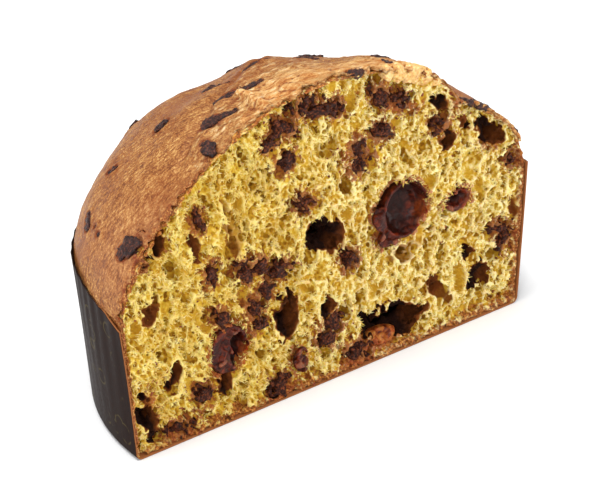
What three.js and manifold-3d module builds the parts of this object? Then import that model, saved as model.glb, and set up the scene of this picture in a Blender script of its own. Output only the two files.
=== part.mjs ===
// Half of a low, dome-topped panettone, cut down the middle and still in its baking paper.
// Millimetres, +Z up. The cake's own axis is vertical, and the cut face looks towards -Y.
import * as THREE from "three";
import { mergeVertices } from "three/addons/utils/BufferGeometryUtils.js";
import Module from "manifold-3d";

const wasm = await Module();
wasm.setup();

// Driving dimensions
const baseRadius = 89; // outside of the paper, at the table
const mouthRadius = 94; // outside of the paper, at its rim
const paperHeight = 59;
const paperThickness = 0.7;
const paperFoot = 2.5; // rounding between the paper's wall and its bottom
const cakeHeight = 123.5;
const clearance = 0.3; // between one piece and the next
const shoulderAtCut = 1.42; // how full the dome is: 2 is an ellipse, 1 a parabola
const shoulderAtBack = 0.2; // added to it, away from the cut
const crumbRelief = 1.3; // how far back the torn crumb's dips lie behind its crests

// Swells and dips of the dome: where they are, how far they spread and how high they stand
const swells = [
  { at: [-45, 70, 88], spread: 26, height: 1.6 },
  { at: [-13, 54, 106], spread: 15, height: -2.2 },
  { at: [3, 49, 112], spread: 9, height: 2 },
  { at: [26, 40, 112], spread: 17, height: -2.8 },
  { at: [16, 16, 122], spread: 13, height: -1.6 },
  { at: [46, 10, 112], spread: 11, height: 1.2 },
  { at: [62, 4, 100], spread: 11, height: -2.2 },
  { at: [84, 4, 77], spread: 9, height: 1.8 },
  { at: [72, 30, 86], spread: 16, height: 1.2 },
  { at: [30, 76, 84], spread: 20, height: -1.2 },
];

// The dome was scored before baking. Its skin ends in a fold, and the dough inside rose past it.
const foldStart = new THREE.Vector2(-56, 13);
const foldEnd = new THREE.Vector2(4, 48);
const foldLip = { height: 1.5, width: 4.5 };
const foldValley = { depth: 1.7, width: 1.8 };

// Open holes of the crumb, on the cut face: centre, half width, half height, depth and tilt in degrees
const holes = [
  { at: [0, 59.5], half: [8.6, 5.2], depth: 13, tilt: -40 },
  { at: [-17.5, 33], half: [4.8, 9], depth: 11, tilt: -8 },
  { at: [-0.4, 30.3], half: [3.4, 3.9], depth: 9, tilt: 0 },
  { at: [31, 11.6], half: [13.5, 6], depth: 13, tilt: 0 },
  { at: [-81, 13.5], half: [2.8, 8], depth: 9, tilt: 12 },
  { at: [-46.5, 16], half: [2.6, 5.4], depth: 9, tilt: 0 },
  { at: [-69, 28], half: [2, 5.6], depth: 6, tilt: -6 },
  { at: [37, 39.6], half: [6, 3.5], depth: 7, tilt: -8 },
  { at: [46, 43.6], half: [3.8, 3.8], depth: 5, tilt: 0 },
  { at: [77.5, 75.5], half: [8, 3.4], depth: 9, tilt: -43 },
  { at: [56.8, 79.6], half: [3.8, 3], depth: 8, tilt: -30 },
  { at: [-75, 83.5], half: [3, 4.4], depth: 8, tilt: -10 },
  { at: [-58.5, 76.5], half: [2.4, 5.6], depth: 6, tilt: 14 },
  { at: [-42.5, 79], half: [2.2, 12.5], depth: 6, tilt: 18 },
  { at: [71.5, 16.6], half: [5, 4.6], depth: 7, tilt: -20 },
  { at: [67, 27.2], half: [2.7, 2.7], depth: 5, tilt: 0 },
  { at: [51.5, 18.8], half: [7, 2.6], depth: 7, tilt: -52 },
  { at: [88, 42.5], half: [2, 5.4], depth: 4, tilt: 16 },
  { at: [65, 84.3], half: [3.2, 2.4], depth: 4, tilt: -35 },
  { at: [67.5, 66.5], half: [6.6, 6.8], depth: 5, tilt: 0 },
  { at: [9.6, 77], half: [2.6, 4.2], depth: 6, tilt: 10 },
  { at: [-51, 82], half: [4.6, 11], depth: 4, tilt: 18 },
  { at: [-17, 85], half: [3.8, 5.6], depth: 4.5, tilt: 0 },
  { at: [-78.5, 56.5], half: [5, 3.6], depth: 6, tilt: 30 },
  { at: [78, 31.6], half: [3.8, 2.6], depth: 4, tilt: 0 },
  { at: [54, 96], half: [3.8, 2.2], depth: 6, tilt: -48 },
];

// Chocolate drops that show on the cut face: centre, half width, half height and tilt in degrees
const facePieces = [
  { at: [3.6, 22.6], half: [3.6, 3], tilt: -30 },
  { at: [0.2, 16], half: [2.6, 2.2], tilt: 0 },
  { at: [-33, 42], half: [2.8, 3.6], tilt: 15 },
  { at: [-31.5, 34.4], half: [2, 3.2], tilt: 35 },
  { at: [-27, 46.5], half: [3.4, 2.6], tilt: -20 },
  { at: [-21, 53], half: [4.6, 2.8], tilt: 0 },
  { at: [-31, 59], half: [3, 3.8], tilt: 30 },
  { at: [84.4, 29.5], half: [2.3, 4.8], tilt: -12 },
  { at: [80.6, 34], half: [1.8, 1.8], tilt: 0 },
  { at: [87.6, 61], half: [1.7, 1.9], tilt: 0 },
  { at: [53.6, 87.2], half: [3, 2.6], tilt: -30 },
  { at: [14.6, 91.6], half: [3, 3], tilt: 0 },
  { at: [15.6, 85], half: [4.4, 3.4], tilt: 12 },
  { at: [26, 94.6], half: [3.2, 2.6], tilt: -45 },
  { at: [10.4, 46.6], half: [3, 3.4], tilt: -25 },
  { at: [-18, 111], half: [4.6, 2], tilt: -35 },
  { at: [-8, 117], half: [4.4, 1.8], tilt: 5 },
  { at: [-2.5, 112.6], half: [4, 1.8], tilt: 10 },
  { at: [5.4, 110.8], half: [2.6, 3.6], tilt: 40 },
  { at: [-24, 107], half: [2.6, 1.8], tilt: 30 },
  { at: [-17.5, 96.6], half: [2.8, 3.6], tilt: -20 },
  { at: [26, 108.6], half: [4.6, 2.4], tilt: -40 },
  { at: [34, 104.4], half: [4.4, 2], tilt: -25 },
  { at: [-51.6, 62.4], half: [2.6, 4], tilt: 10 },
  { at: [-36.6, 58.4], half: [2.6, 5], tilt: 18 },
  { at: [-57, 86.4], half: [1.6, 3.2], tilt: 12 },
  { at: [-9.4, 77], half: [2.4, 3], tilt: 30 },
  { at: [14, 6.4], half: [5, 4], tilt: -10 },
  { at: [-22, 5], half: [4, 2.8], tilt: 0 },
  { at: [-68, 5], half: [5, 1.8], tilt: -8 },
  { at: [-48, 43.4], half: [1.8, 3.4], tilt: 25 },
  { at: [-57, 15.6], half: [3, 3], tilt: 0 },
];

// Chocolate drops baked into the crust: direction round the cake and height on the ideal dome,
// half length, half width, and the turn of their length away from level, in degrees
const crustPieces = [
  { round: 126.5, height: 100.5, half: [3.2, 2.4], turn: 40 },
  { round: 131, height: 81, half: [2.8, 1.6], turn: 30 },
  { round: 143.5, height: 71.5, half: [2.6, 1.8], turn: 80 },
  { round: 172, height: 81.5, half: [4.2, 3.6], turn: 60 },
  { round: 174, height: 111, half: [3, 2.8], turn: 0 },
  { round: 158, height: 115, half: [6, 2], turn: 20 },
  { round: 130, height: 118.4, half: [6.6, 1.8], turn: 15 },
  { round: 107, height: 111, half: [4.4, 2], turn: 10 },
  { round: 88, height: 112, half: [5, 1.8], turn: 5 },
  { round: 8, height: 121.6, half: [3.6, 2.4], turn: 0 },
  { round: 14, height: 117.4, half: [3.2, 1.6], turn: -40 },
  { round: 20, height: 74, half: [3.6, 2.4], turn: 30 },
  { round: 34, height: 96, half: [3.4, 2.2], turn: -20 },
  { round: 52, height: 82, half: [2.6, 2.2], turn: 0 },
  { round: 68, height: 103, half: [4, 2], turn: 35 },
  { round: 75, height: 70, half: [3, 2], turn: -50 },
  { round: 98, height: 86, half: [3.4, 2.2], turn: 15 },
  { round: 112, height: 68, half: [2.4, 1.8], turn: 70 },
  { round: 45, height: 112, half: [3.8, 1.8], turn: 10 },
];

// Candied cherries: the flesh as ellipsoids, by centre and half sizes, and the hollows that baking left in them
const cherries = [
  {
    name: "cherry_1",
    flesh: [
      { at: [36.5, 3.4, 58], half: [10.6, 9.6, 12] },
      { at: [26.4, 2.2, 57.5], half: [4.4, 3.6, 5] },
      { at: [28.4, 2, 49], half: [4.6, 3.2, 4] },
    ],
    hollow: { at: [37, 0.6, 58.2], half: [8.8, 9.8, 10] },
  },
  {
    name: "cherry_2",
    flesh: [{ at: [-45, 3.4, 28.8], half: [8.6, 7.4, 9.8] }],
    hollow: { at: [-41, 1, 27.4], half: [3.9, 7.4, 7.6] },
  },
  {
    name: "cherry_3",
    flesh: [{ at: [26, 5.6, 6.6], half: [7.6, 4.4, 3.4] }],
    hollow: { at: [25, 1.2, 9.4], half: [4.6, 4, 2.4] },
  },
  {
    name: "cherry_4",
    flesh: [{ at: [61.4, 2.4, 53.4], half: [6, 5.4, 4.8] }],
    hollow: { at: [61.6, 0.4, 54], half: [4.6, 5.4, 3.3] },
  },
  {
    name: "cherry_5",
    flesh: [{ at: [-12.8, 1.8, 12.6], half: [3.4, 2.8, 5.4] }],
    hollow: { at: [-11.6, -0.4, 13.6], half: [1.6, 2, 2.6] },
  },
];

const colours = {
  crust: new THREE.MeshStandardMaterial({ color: 0xb86f35, roughness: 0.55 }),
  paper: new THREE.MeshStandardMaterial({ color: 0x2b1d1c, roughness: 0.5 }),
  cherry: new THREE.MeshStandardMaterial({ color: 0x6a1f16, roughness: 0.3 }),
};

// A solid from a closed three.js geometry, with its poles and seams merged
function solid(geometry) {
  geometry.deleteAttribute("normal");
  geometry.deleteAttribute("uv");
  const merged = mergeVertices(geometry, 1e-4);
  const faces = [];
  for (let i = 0; i < merged.index.count; i += 3) {
    const [a, b, c] = merged.index.array.slice(i, i + 3);
    if (a !== b && b !== c && c !== a) faces.push(a, b, c);
  }
  return new wasm.Manifold(
    new wasm.Mesh({
      numProp: 3,
      vertProperties: new Float32Array(merged.attributes.position.array),
      triVerts: new Uint32Array(faces),
    }),
  );
}

function geometryOf(shape) {
  const mesh = shape.getMesh();
  return new THREE.BufferGeometry()
    .setAttribute("position", new THREE.BufferAttribute(mesh.vertProperties, 3))
    .setIndex(new THREE.BufferAttribute(mesh.triVerts, 1));
}

// Moves every vertex of a geometry to where a function of it says
function reshape(geometry, move) {
  const position = geometry.getAttribute("position");
  const vertex = new THREE.Vector3();
  for (let i = 0; i < position.count; i++) {
    vertex.fromBufferAttribute(position, i);
    move(vertex);
    position.setXYZ(i, vertex.x, vertex.y, vertex.z);
  }
  return geometry;
}

const bell = (distance, spread) => Math.exp(-((distance / spread) ** 2));

// The dome at a direction round the cake and a rise, from 0 at the paper's rim to a quarter turn at the top
function domePoint(round, rise) {
  const shoulder = shoulderAtCut + shoulderAtBack * Math.sin(round) ** 2;
  const rimRadius = mouthRadius - paperThickness - clearance;
  const radius = rimRadius * Math.cos(rise);
  const height =
    paperHeight + (cakeHeight - paperHeight) * Math.sin(rise) ** (2 / shoulder);
  return new THREE.Vector3(
    radius * Math.cos(round),
    radius * Math.sin(round),
    height,
  );
}

// The rise at which the dome is this high
function riseAt(round, height) {
  const shoulder = shoulderAtCut + shoulderAtBack * Math.sin(round) ** 2;
  const share = (height - paperHeight) / (cakeHeight - paperHeight);
  return Math.asin(Math.min(1, share) ** (shoulder / 2));
}

// How far the crust stands out from the ideal dome
function crustRelief(point) {
  let out = 0.35 * Math.sin(point.x / 7 + 2 * Math.sin(point.y / 11));
  out += 0.3 * Math.sin(point.y / 6 - point.z / 9 + 1.3);
  for (const swell of swells) {
    const away = point.distanceTo(new THREE.Vector3(...swell.at));
    out += swell.height * bell(away, swell.spread);
  }
  const along = foldEnd.clone().sub(foldStart).normalize();
  const offset = new THREE.Vector2(point.x, point.y).sub(foldStart);
  const across = along.x * offset.y - along.y * offset.x; // positive outside the fold
  const run = along.dot(offset);
  const length = foldEnd.distanceTo(foldStart);
  const there =
    THREE.MathUtils.smoothstep(run, -8, 6) *
    (1 - THREE.MathUtils.smoothstep(run, length - 8, length + 10));
  out += foldLip.height * there * bell(across + foldLip.width, foldLip.width);
  out -= foldValley.depth * there * bell(across, foldValley.width);
  return out * THREE.MathUtils.smoothstep(point.z, paperHeight, paperHeight + 12);
}

function crustPoint(round, rise) {
  const point = domePoint(round, rise);
  const outward = new THREE.Vector3(
    Math.cos(round) * Math.cos(rise),
    Math.sin(round) * Math.cos(rise),
    Math.sin(rise),
  );
  return point.clone().addScaledVector(outward, crustRelief(point));
}

// The whole loaf under its crust: the wall that the paper holds, and the dome above it
function loaf() {
  const segments = 84;
  const wallRings = 3;
  const domeRings = 19;
  const inset = paperThickness + clearance;
  const profile = [new THREE.Vector2(0, 0)];
  profile.push(new THREE.Vector2(baseRadius - inset - paperFoot, 0));
  for (let i = 0; i <= wallRings + domeRings; i++)
    profile.push(new THREE.Vector2(baseRadius, i + 1));
  profile.push(new THREE.Vector2(0, wallRings + domeRings + 2));
  const lathe = new THREE.LatheGeometry(profile, segments).rotateX(Math.PI / 2);
  return solid(
    reshape(lathe, (vertex) => {
      const ring = Math.round(vertex.z) - 1;
      const round = Math.atan2(vertex.y, vertex.x);
      if (ring < 0) {
        vertex.z = inset;
      } else if (ring < wallRings) {
        const share = ring / wallRings;
        const height = inset + paperFoot + (paperHeight - inset - paperFoot) * share;
        const radius = wallRadius(height) - inset;
        vertex.set(radius * Math.cos(round), radius * Math.sin(round), height);
      } else {
        const rise = ((ring - wallRings) / (domeRings + 1)) * (Math.PI / 2);
        vertex.copy(crustPoint(round, rise));
      }
    }),
  );
}

// Outside radius of the paper's wall
function wallRadius(height) {
  return baseRadius + (mouthRadius - baseRadius) * (height / paperHeight);
}

// Height of the torn crumb's surface before or behind the cut
function crumbOffset(x, z) {
  const ripple = Math.sin(x / 3.4 + 1.7 * Math.sin(z / 4.7));
  const wave = Math.sin(z / 2.7 - 1.4 * Math.sin(x / 5.2) + x / 9);
  return 0.2 + crumbRelief * 0.5 * (1 - ripple * wave);
}

// All that lies behind the cut, with the torn crumb as its front
function behindCut() {
  const width = 2 * mouthRadius + 12;
  const height = cakeHeight + 16;
  const depth = mouthRadius + 20;
  const box = new THREE.BoxGeometry(width, depth, height, 44, 1, 31);
  box.translate(0, depth / 2, height / 2 - 6);
  return solid(
    reshape(box, (vertex) => {
      if (vertex.y < 1) vertex.y = crumbOffset(vertex.x, vertex.z);
    }),
  );
}

// A ball of radius 1 with as many faces as its size needs
function ball(size) {
  const round = THREE.MathUtils.clamp(Math.round(4.6 + 0.8 * size), 7, 13);
  return new THREE.SphereGeometry(1, round, Math.round(round * 0.6));
}

function ellipsoid({ at, half }, grown = 0) {
  const sizes = half.map((size) => size + grown);
  return solid(ball(Math.max(...half)).scale(...sizes).translate(...at));
}

function openHole({ at, half, depth, tilt }) {
  const hollow = ball(Math.max(...half)).scale(half[0], depth, half[1]);
  hollow.rotateY((-tilt * Math.PI) / 180);
  return solid(hollow.translate(at[0], 0, at[1]));
}

function facePiece({ at, half, tilt }) {
  const drop = new THREE.DodecahedronGeometry(1, 0);
  drop.scale(half[0], 1.7, half[1]);
  drop.rotateY((-tilt * Math.PI) / 180);
  return solid(drop.translate(at[0], crumbOffset(...at) + 0.5, at[1]));
}

function crustPiece({ round, height, half, turn }) {
  const direction = (round * Math.PI) / 180;
  const rise = riseAt(direction, height);
  const at = crustPoint(direction, rise);
  const outward = new THREE.Vector3(
    Math.cos(direction) * Math.cos(rise),
    Math.sin(direction) * Math.cos(rise),
    Math.sin(rise),
  );
  const drop = new THREE.DodecahedronGeometry(1, 0);
  drop.scale(half[0], half[1], 1.5).rotateZ((turn * Math.PI) / 180);
  const stand = new THREE.Quaternion().setFromUnitVectors(
    new THREE.Vector3(0, 0, 1),
    outward,
  );
  return solid(drop.applyQuaternion(stand).translate(at.x, at.y, at.z));
}

// The flesh of a cherry, grown by a clearance where the crumb makes room for it
function cherryFlesh({ flesh }, grown) {
  const lumps = flesh.map((lump) => ellipsoid(lump, grown));
  return lumps.reduce((whole, lump) => whole.add(lump));
}

function cherry(made) {
  const whole = cherryFlesh(made, 0).subtract(ellipsoid(made.hollow));
  return whole.intersect(behindCut());
}

function largest(shape) {
  return shape.decompose().sort((a, b) => b.volume() - a.volume())[0];
}

function bread() {
  let shape = loaf().intersect(behindCut());
  for (const piece of facePieces) shape = shape.add(facePiece(piece));
  for (const piece of crustPieces) shape = shape.add(crustPiece(piece));
  for (const hole of holes) shape = shape.subtract(openHole(hole));
  for (const made of cherries) shape = shape.subtract(cherryFlesh(made, clearance));
  return largest(shape);
}

// The paper's rim is a little uneven, and it sinks where the knife went through it on the left
function rimHeight(round) {
  const sunk = 3 * bell(Math.PI - round, 0.06);
  const raised = 2 * bell(Math.PI - round - 0.42, 0.2);
  return paperHeight + 0.6 * Math.sin(3 * round) + 0.4 * Math.sin(8 * round) + raised - sunk;
}

// Baking paper: a thin wall on a thin bottom, which opens out a little where it was cut
function paperShell(inset, bottom, over) {
  const segments = 96;
  const rings = 3;
  const foot = paperFoot - inset;
  const profile = [new THREE.Vector2(0, 0), new THREE.Vector2(baseRadius - paperFoot, 0)];
  for (let i = 0; i <= rings; i++) profile.push(new THREE.Vector2(baseRadius, i + 1));
  profile.push(new THREE.Vector2(0, rings + 1));
  const lathe = new THREE.LatheGeometry(profile, segments).rotateX(Math.PI / 2);
  return solid(
    reshape(lathe, (vertex) => {
      const ring = Math.round(vertex.z) - 1;
      const round = Math.abs(Math.atan2(vertex.y, vertex.x));
      if (ring < 0) {
        vertex.z = bottom;
        return;
      }
      const top = rimHeight(round) + over;
      const share = Math.min(1, ring / rings);
      const height = THREE.MathUtils.lerp(bottom + foot, top, share);
      if (Math.hypot(vertex.x, vertex.y) > 1) {
        const spread = 0.8 * share ** 2 * (bell(round, 0.1) + bell(Math.PI - round, 0.1));
        const scale = (wallRadius(height) + spread - inset) / Math.hypot(vertex.x, vertex.y);
        vertex.x *= scale;
        vertex.y *= scale;
      }
      vertex.z = height;
    }),
  );
}

function paper() {
  const wall = paperShell(0, 0, 0).subtract(paperShell(paperThickness, paperThickness, 4));
  const back = solid(new THREE.BoxGeometry(300, 150, 200).translate(0, 75, 60));
  return wall.intersect(back);
}

function node(name, shape, material) {
  const mesh = new THREE.Mesh(geometryOf(shape), material);
  mesh.name = name;
  return mesh;
}

const half = new THREE.Group();
half.add(node("bread", bread(), colours.crust));
half.add(node("paper", paper(), colours.paper));
for (const made of cherries) half.add(node(made.name, cherry(made), colours.cherry));

// The origin is in the middle of the base
const bounds = new THREE.Box3().setFromObject(half);
const middle = bounds.getCenter(new THREE.Vector3());
half.position.set(-middle.x, -middle.y, -bounds.min.z);

export default half;
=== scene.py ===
import math
import bpy
import numpy as np
import openvdb
from mathutils import Matrix, Vector


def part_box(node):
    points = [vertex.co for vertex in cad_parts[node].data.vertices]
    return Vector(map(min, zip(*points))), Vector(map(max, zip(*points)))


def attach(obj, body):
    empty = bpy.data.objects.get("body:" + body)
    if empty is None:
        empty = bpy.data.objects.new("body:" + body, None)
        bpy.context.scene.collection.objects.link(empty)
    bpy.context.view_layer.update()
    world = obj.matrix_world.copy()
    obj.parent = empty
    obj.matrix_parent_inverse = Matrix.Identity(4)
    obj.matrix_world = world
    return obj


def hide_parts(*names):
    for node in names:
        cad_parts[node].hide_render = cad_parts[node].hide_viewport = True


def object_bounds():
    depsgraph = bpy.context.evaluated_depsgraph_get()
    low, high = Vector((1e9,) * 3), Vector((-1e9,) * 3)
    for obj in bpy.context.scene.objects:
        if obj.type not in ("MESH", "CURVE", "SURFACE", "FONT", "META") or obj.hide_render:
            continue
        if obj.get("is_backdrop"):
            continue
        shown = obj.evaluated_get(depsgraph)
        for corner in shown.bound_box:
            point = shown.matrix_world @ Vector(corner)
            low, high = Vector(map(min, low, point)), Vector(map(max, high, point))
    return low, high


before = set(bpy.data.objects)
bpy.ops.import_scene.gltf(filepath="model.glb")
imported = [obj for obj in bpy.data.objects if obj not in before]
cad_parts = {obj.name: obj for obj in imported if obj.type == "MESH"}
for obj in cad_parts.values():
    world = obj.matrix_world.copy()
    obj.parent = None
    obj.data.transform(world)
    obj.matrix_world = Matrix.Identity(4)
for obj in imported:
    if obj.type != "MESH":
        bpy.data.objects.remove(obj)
cad_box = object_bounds()

# Half of a low, dome-topped panettone, cut down the middle and still in its baking paper.
# Shapes are worked out in millimetres in the cake's own place: its axis stands at x = 0, y = 0,
# and the knife went down along y = 0. mesh_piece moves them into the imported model's frame.
paper_low, paper_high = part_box("paper")
METRE = 1000.0
AXIS_X = (paper_low.x + paper_high.x) / 2 * METRE
CUT_Y = paper_low.y * METRE

# Driving sizes, in millimetres
BASE_RADIUS = 89
MOUTH_RADIUS = 94
PAPER_HEIGHT = 59
PAPER_SHEET = 0.45
PAPER_FOOT = 2.5
CAKE_HEIGHT = 123.5
INSET = 0.9
SHOULDER_AT_CUT = 1.42
SHOULDER_AT_BACK = 0.2
CRUST_THICKNESS = 1.0

# How finely the pieces are made: voxels in millimetres, and columns and rows of points
CRUMB_VOXEL = 0.4
FACE_DROP_VOXEL = 0.38
CRUST_DROP_VOXEL = 0.3
CHERRY_VOXEL = 0.4
CRUST_GRID = (400, 118)
WALL_GRID = (160, 70)
PAPER_GRID = (480, 60)
MOST_TRIANGLES = 190000

# Swells and dips of the dome: place, spread and height
SWELLS = [
    ((-45, 70, 88), 26, 0.6),
    ((0, 67, 100), 10, -2.0),
    ((-15, 50, 109), 15, -3.4),
    ((3, 49, 112), 9, 1.3),
    ((26, 40, 112), 17, -3.4),
    ((16, 16, 122), 13, -1.6),
    ((46, 10, 112), 11, -0.8),
    ((64, 4, 98), 13, -4.4),
    ((86, 4, 74), 7, 2.0),
    ((72, 30, 86), 16, 1.2),
    ((30, 76, 84), 20, -1.2),
]

# The skin was scored before baking. It ends in a fold, and the dough inside rose past it.
FOLD_START = np.array([-56.0, 13.0])
FOLD_END = np.array([4.0, 48.0])
FOLD_LIP = (1.5, 4.5)
FOLD_VALLEY = (1.7, 1.8)

# Open holes of the crumb: x, z, half width, half height, depth, tilt in degrees and how much painted shade
# they hold
HOLES = [
    (0, 59.5, 8.6, 5.2, 13, -40, 1),
    (-17.5, 33, 4.8, 9, 11, -8, 0.85),
    (-0.4, 30.3, 3.4, 3.9, 9, 0, 0.9),
    (31, 11.6, 13.5, 6, 13, 0, 1),
    (-81, 13.5, 2.8, 8, 9, 12, 0.9),
    (-46.5, 16, 2.6, 5.4, 9, 0, 0.8),
    (-69, 28, 2, 5.6, 6, -6, 0.8),
    (37, 39.6, 6, 3.5, 7, -8, 0.35),
    (46, 43.6, 3.8, 3.8, 5, 0, 0.12),
    (77.5, 75.5, 8, 3.4, 9, -43, 0.85),
    (56.8, 79.6, 3.8, 3, 8, -30, 0.85),
    (-75, 83.5, 3, 4.4, 8, -10, 0.9),
    (-58.5, 76.5, 2.4, 5.6, 6, 14, 0.6),
    (-42.5, 79, 2.2, 12.5, 6, 18, 0.35),
    (71.5, 16.6, 5, 4.6, 7, -20, 0.9),
    (67, 27.2, 2.7, 2.7, 5, 0, 0.9),
    (51.5, 18.8, 7, 2.6, 7, -52, 0.6),
    (88, 42.5, 2, 5.4, 4, 16, 0.5),
    (65, 84.3, 3.2, 2.4, 4, -35, 0.5),
    (67.5, 66.5, 6.6, 6.8, 5, 0, 0),
    (9.6, 77, 2.6, 4.2, 6, 10, 0.3),
    (-51, 82, 4.6, 11, 4, 18, 0),
    (-17, 85, 3.8, 5.6, 4.5, 0, 0.05),
    (-78.5, 56.5, 5, 3.6, 6, 30, 0.6),
    (78, 31.6, 3.8, 2.6, 4, 0, 0.1),
    (54, 96, 3.8, 2.2, 6, -48, 0.9),
]

# Chocolate drops on the cut: x, z, half width, half height, tilt in degrees
FACE_DROPS = [
    (3.6, 22.6, 3.6, 3, -30),
    (0.2, 16, 2.6, 2.2, 0),
    (-33, 42, 2.8, 3.6, 15),
    (-31.5, 34.4, 2, 3.2, 35),
    (-27, 46.5, 3.4, 2.6, -20),
    (-21, 53, 4.6, 2.8, 0),
    (-31, 59, 3, 3.8, 30),
    (84.4, 29.5, 2.3, 4.8, -12),
    (80.6, 34, 1.8, 1.8, 0),
    (87.6, 61, 1.7, 1.9, 0),
    (53.6, 87.2, 3, 2.6, -30),
    (14.6, 91.6, 3, 3, 0),
    (15.6, 85, 4.4, 3.4, 12),
    (26, 94.6, 3.2, 2.6, -45),
    (10.4, 46.6, 3, 3.4, -25),
    (-18, 111, 4.6, 2, -35),
    (-8, 117, 4.4, 1.8, 5),
    (-2.5, 112.6, 4, 1.8, 10),
    (5.4, 110.8, 2.6, 3.6, 40),
    (-24, 107, 2.6, 1.8, 30),
    (-17.5, 96.6, 2.8, 3.6, -20),
    (26, 108.6, 4.6, 2.4, -40),
    (34, 104.4, 4.4, 2, -25),
    (-51.6, 62.4, 2.6, 4, 10),
    (-36.6, 58.4, 2.6, 5, 18),
    (-57, 86.4, 1.6, 3.2, 12),
    (-9.4, 77, 2.4, 3, 30),
    (14, 6.4, 5, 4, -10),
    (-22, 5, 4, 2.8, 0),
    (-68, 5, 5, 1.8, -8),
    (-48, 43.4, 1.8, 3.4, 25),
    (-57, 15.6, 3, 3, 0),
]

# Smears of chocolate and fruit on the cut: x, z, half width, half height, tilt and strength
SMEARS = [
    (31, 104, 15, 4.2, -32, 0.75),
    (42, 98, 7, 3.4, -35, 0.6),
    (-16, 113, 11, 3.2, 35, 0.6),
    (0, 114.5, 8, 3, 0, 0.55),
    (14, 8, 7, 5, 0, 0.7),
    (-22, 4, 8, 4, 0, 0.7),
    (-50, 25, 4, 9, 10, 0.7),
    (-33, 40, 5, 9, 10, 0.55),
    (-24, 50, 7, 4, 0, 0.6),
    (-4, 20, 5, 9, 0, 0.5),
    (-60, 8, 14, 5, 0, 0.5),
    (-80, 20, 4, 10, 10, 0.5),
    (10, 88, 7, 7, 0, 0.5),
    (56, 84, 9, 4, -35, 0.55),
    (76, 72, 9, 4, -40, 0.6),
    (-55, 60, 4, 7, 15, 0.5),
    (-74, 84, 4, 7, 20, 0.6),
    (60, 94, 8, 3, -40, 0.6),
    (30, 48, 6, 5, 0, 0.5),
]

# Smooth lumps where pale dough burst out above the cut: x, depth, z and half sizes
PUFFS = [
    ((29.0, 3.0, 117.0), (3.4, 3.2, 2.8)),
    ((34.0, 3.0, 115.6), (4.0, 3.4, 3.6)),
    ((40.4, 3.0, 113.2), (4.4, 3.4, 4.2)),
    ((46.0, 3.0, 109.8), (3.2, 3, 3.4)),
    ((50.6, 3.2, 106.8), (2.6, 2.8, 2.4)),
]

# Chocolate drops in the crust: both ends as x, y and half width
CRUST_DROPS = [
    ((-45, 42), (-42, 42), 2.0),
    ((-60.8, 50.2), (-59.4, 48), 1.1),
    ((-47.6, 8.6), (-48.6, 4.4), 2.3),
    ((-73, 47.2), (-77, 42), 1.6),
    ((-77.4, 36.8), (-77.6, 36.2), 0.7),
    ((-79.5, 32.2), (-79.8, 31.4), 0.8),
    ((-82.8, 11.6), (-80.4, 8.0), 3.3),
    ((-23.5, 43.4), (-19.6, 41.2), 1.7),
    ((-19.6, 41.2), (-15.6, 39.9), 1.2),
    ((-9.1, 37.8), (-3, 38), 1.3),
    ((-3, 38), (2.2, 38.8), 1.0),
    ((-30.5, 26.2), (-24, 23.2), 1.5),
    ((-24, 23.2), (-21.5, 22.8), 0.7),
    ((-21.5, 22.8), (-14, 22), 1.5),
    ((-42, 15.4), (-38, 15.4), 2.5),
    ((-38, 15.4), (-31.2, 13.7), 1.2),
    ((11.6, 2.2), (16.4, 2.0), 1.8),
    ((21, 4.9), (21.6, 4.9), 0.6),
    ((35.8, 13), (33.8, 6.5), 1.2),
    ((66.5, 2.6), (71, 2.4), 1.3),
    ((71, 2.4), (77, 3), 1.7),
    ((88.2, 3), (88.4, 5.5), 1.7),
    ((80, 30), (77.5, 34), 1.9),
    ((62, 41), (66, 38), 1.6),
    ((30, 55), (36, 52), 2.0),
    ((8, 70), (12, 66), 1.7),
    ((-14, 83), (-9, 84), 1.8),
    ((45, 22), (40, 24), 1.6),
    ((20, 33), (14, 35), 1.4),
    ((-35, 72), (-31, 75), 2.1),
    ((55, 68), (52, 71), 1.6),
]

# Creases and cracks of the crust: places as x, y, half width and depth
CREASES = [
    ([(-78.3, 10.9), (-77, 10.3), (-76.6, 6.1), (-77.7, 2.1)], 0.7, 0.9),
    ([(-68.9, 9.6), (-71.1, 7.5), (-73.2, 4.5)], 0.8, 0.6),
    ([(4, 27.8), (8.6, 27.2)], 0.6, 0.8),
    ([(0, 23.8), (4.6, 23)], 0.6, 0.7),
    ([(-43.7, 16.2), (-41, 12.5), (-37, 10.5)], 0.8, 0.8),
    ([(-30, 19.5), (-20, 17.5), (-13, 18.5)], 0.6, 0.5),
    ([(-31, 8), (-22, 9), (-16, 6.5)], 0.7, 0.6),
    ([(-8, 12), (6, 11), (15, 7)], 0.5, 0.5),
    ([(27, 3), (33, 2.2), (38, 3), (43, 2.4)], 1.0, 1.3),
    ([(46.7, 0), (46.2, 5), (44, 10)], 1.1, 1.5),
    ([(50, 3), (58, 4), (64, 2.5)], 0.8, 0.7),
    ([(-34, 34), (-27, 33), (-20, 32)], 0.5, 0.4),
]

# Holes through the crust: x, y, half width and depth. Their inside is painted near black as shade.
PITS = [(-81.2, 4.6, 1.7, 3.2), (-84.4, 1.0, 2.2, 3.4), (-43.9, 16.6, 1.2, 1.8), (47, 1.5, 2.0, 1.8)]

# Lumps where the crumb burst through: x, y, half width and height
LUMPS = [
    (31.5, 2, 3.4, 0.9),
    (37, 4.2, 3.8, 1.5),
    (42.5, 5.5, 3.0, 1.0),
    (40, 1.5, 2.6, 1.0),
    (23, 2.2, 3.0, 0.8),
    (50, 2.5, 2.2, 0.4),
    (55, 1.4, 2.2, 0.6),
    (60.5, 1.2, 1.8, 0.7),
    (-25, 3.5, 3.2, 0.7),
    (-33, 6, 2.8, 0.6),
]

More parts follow.
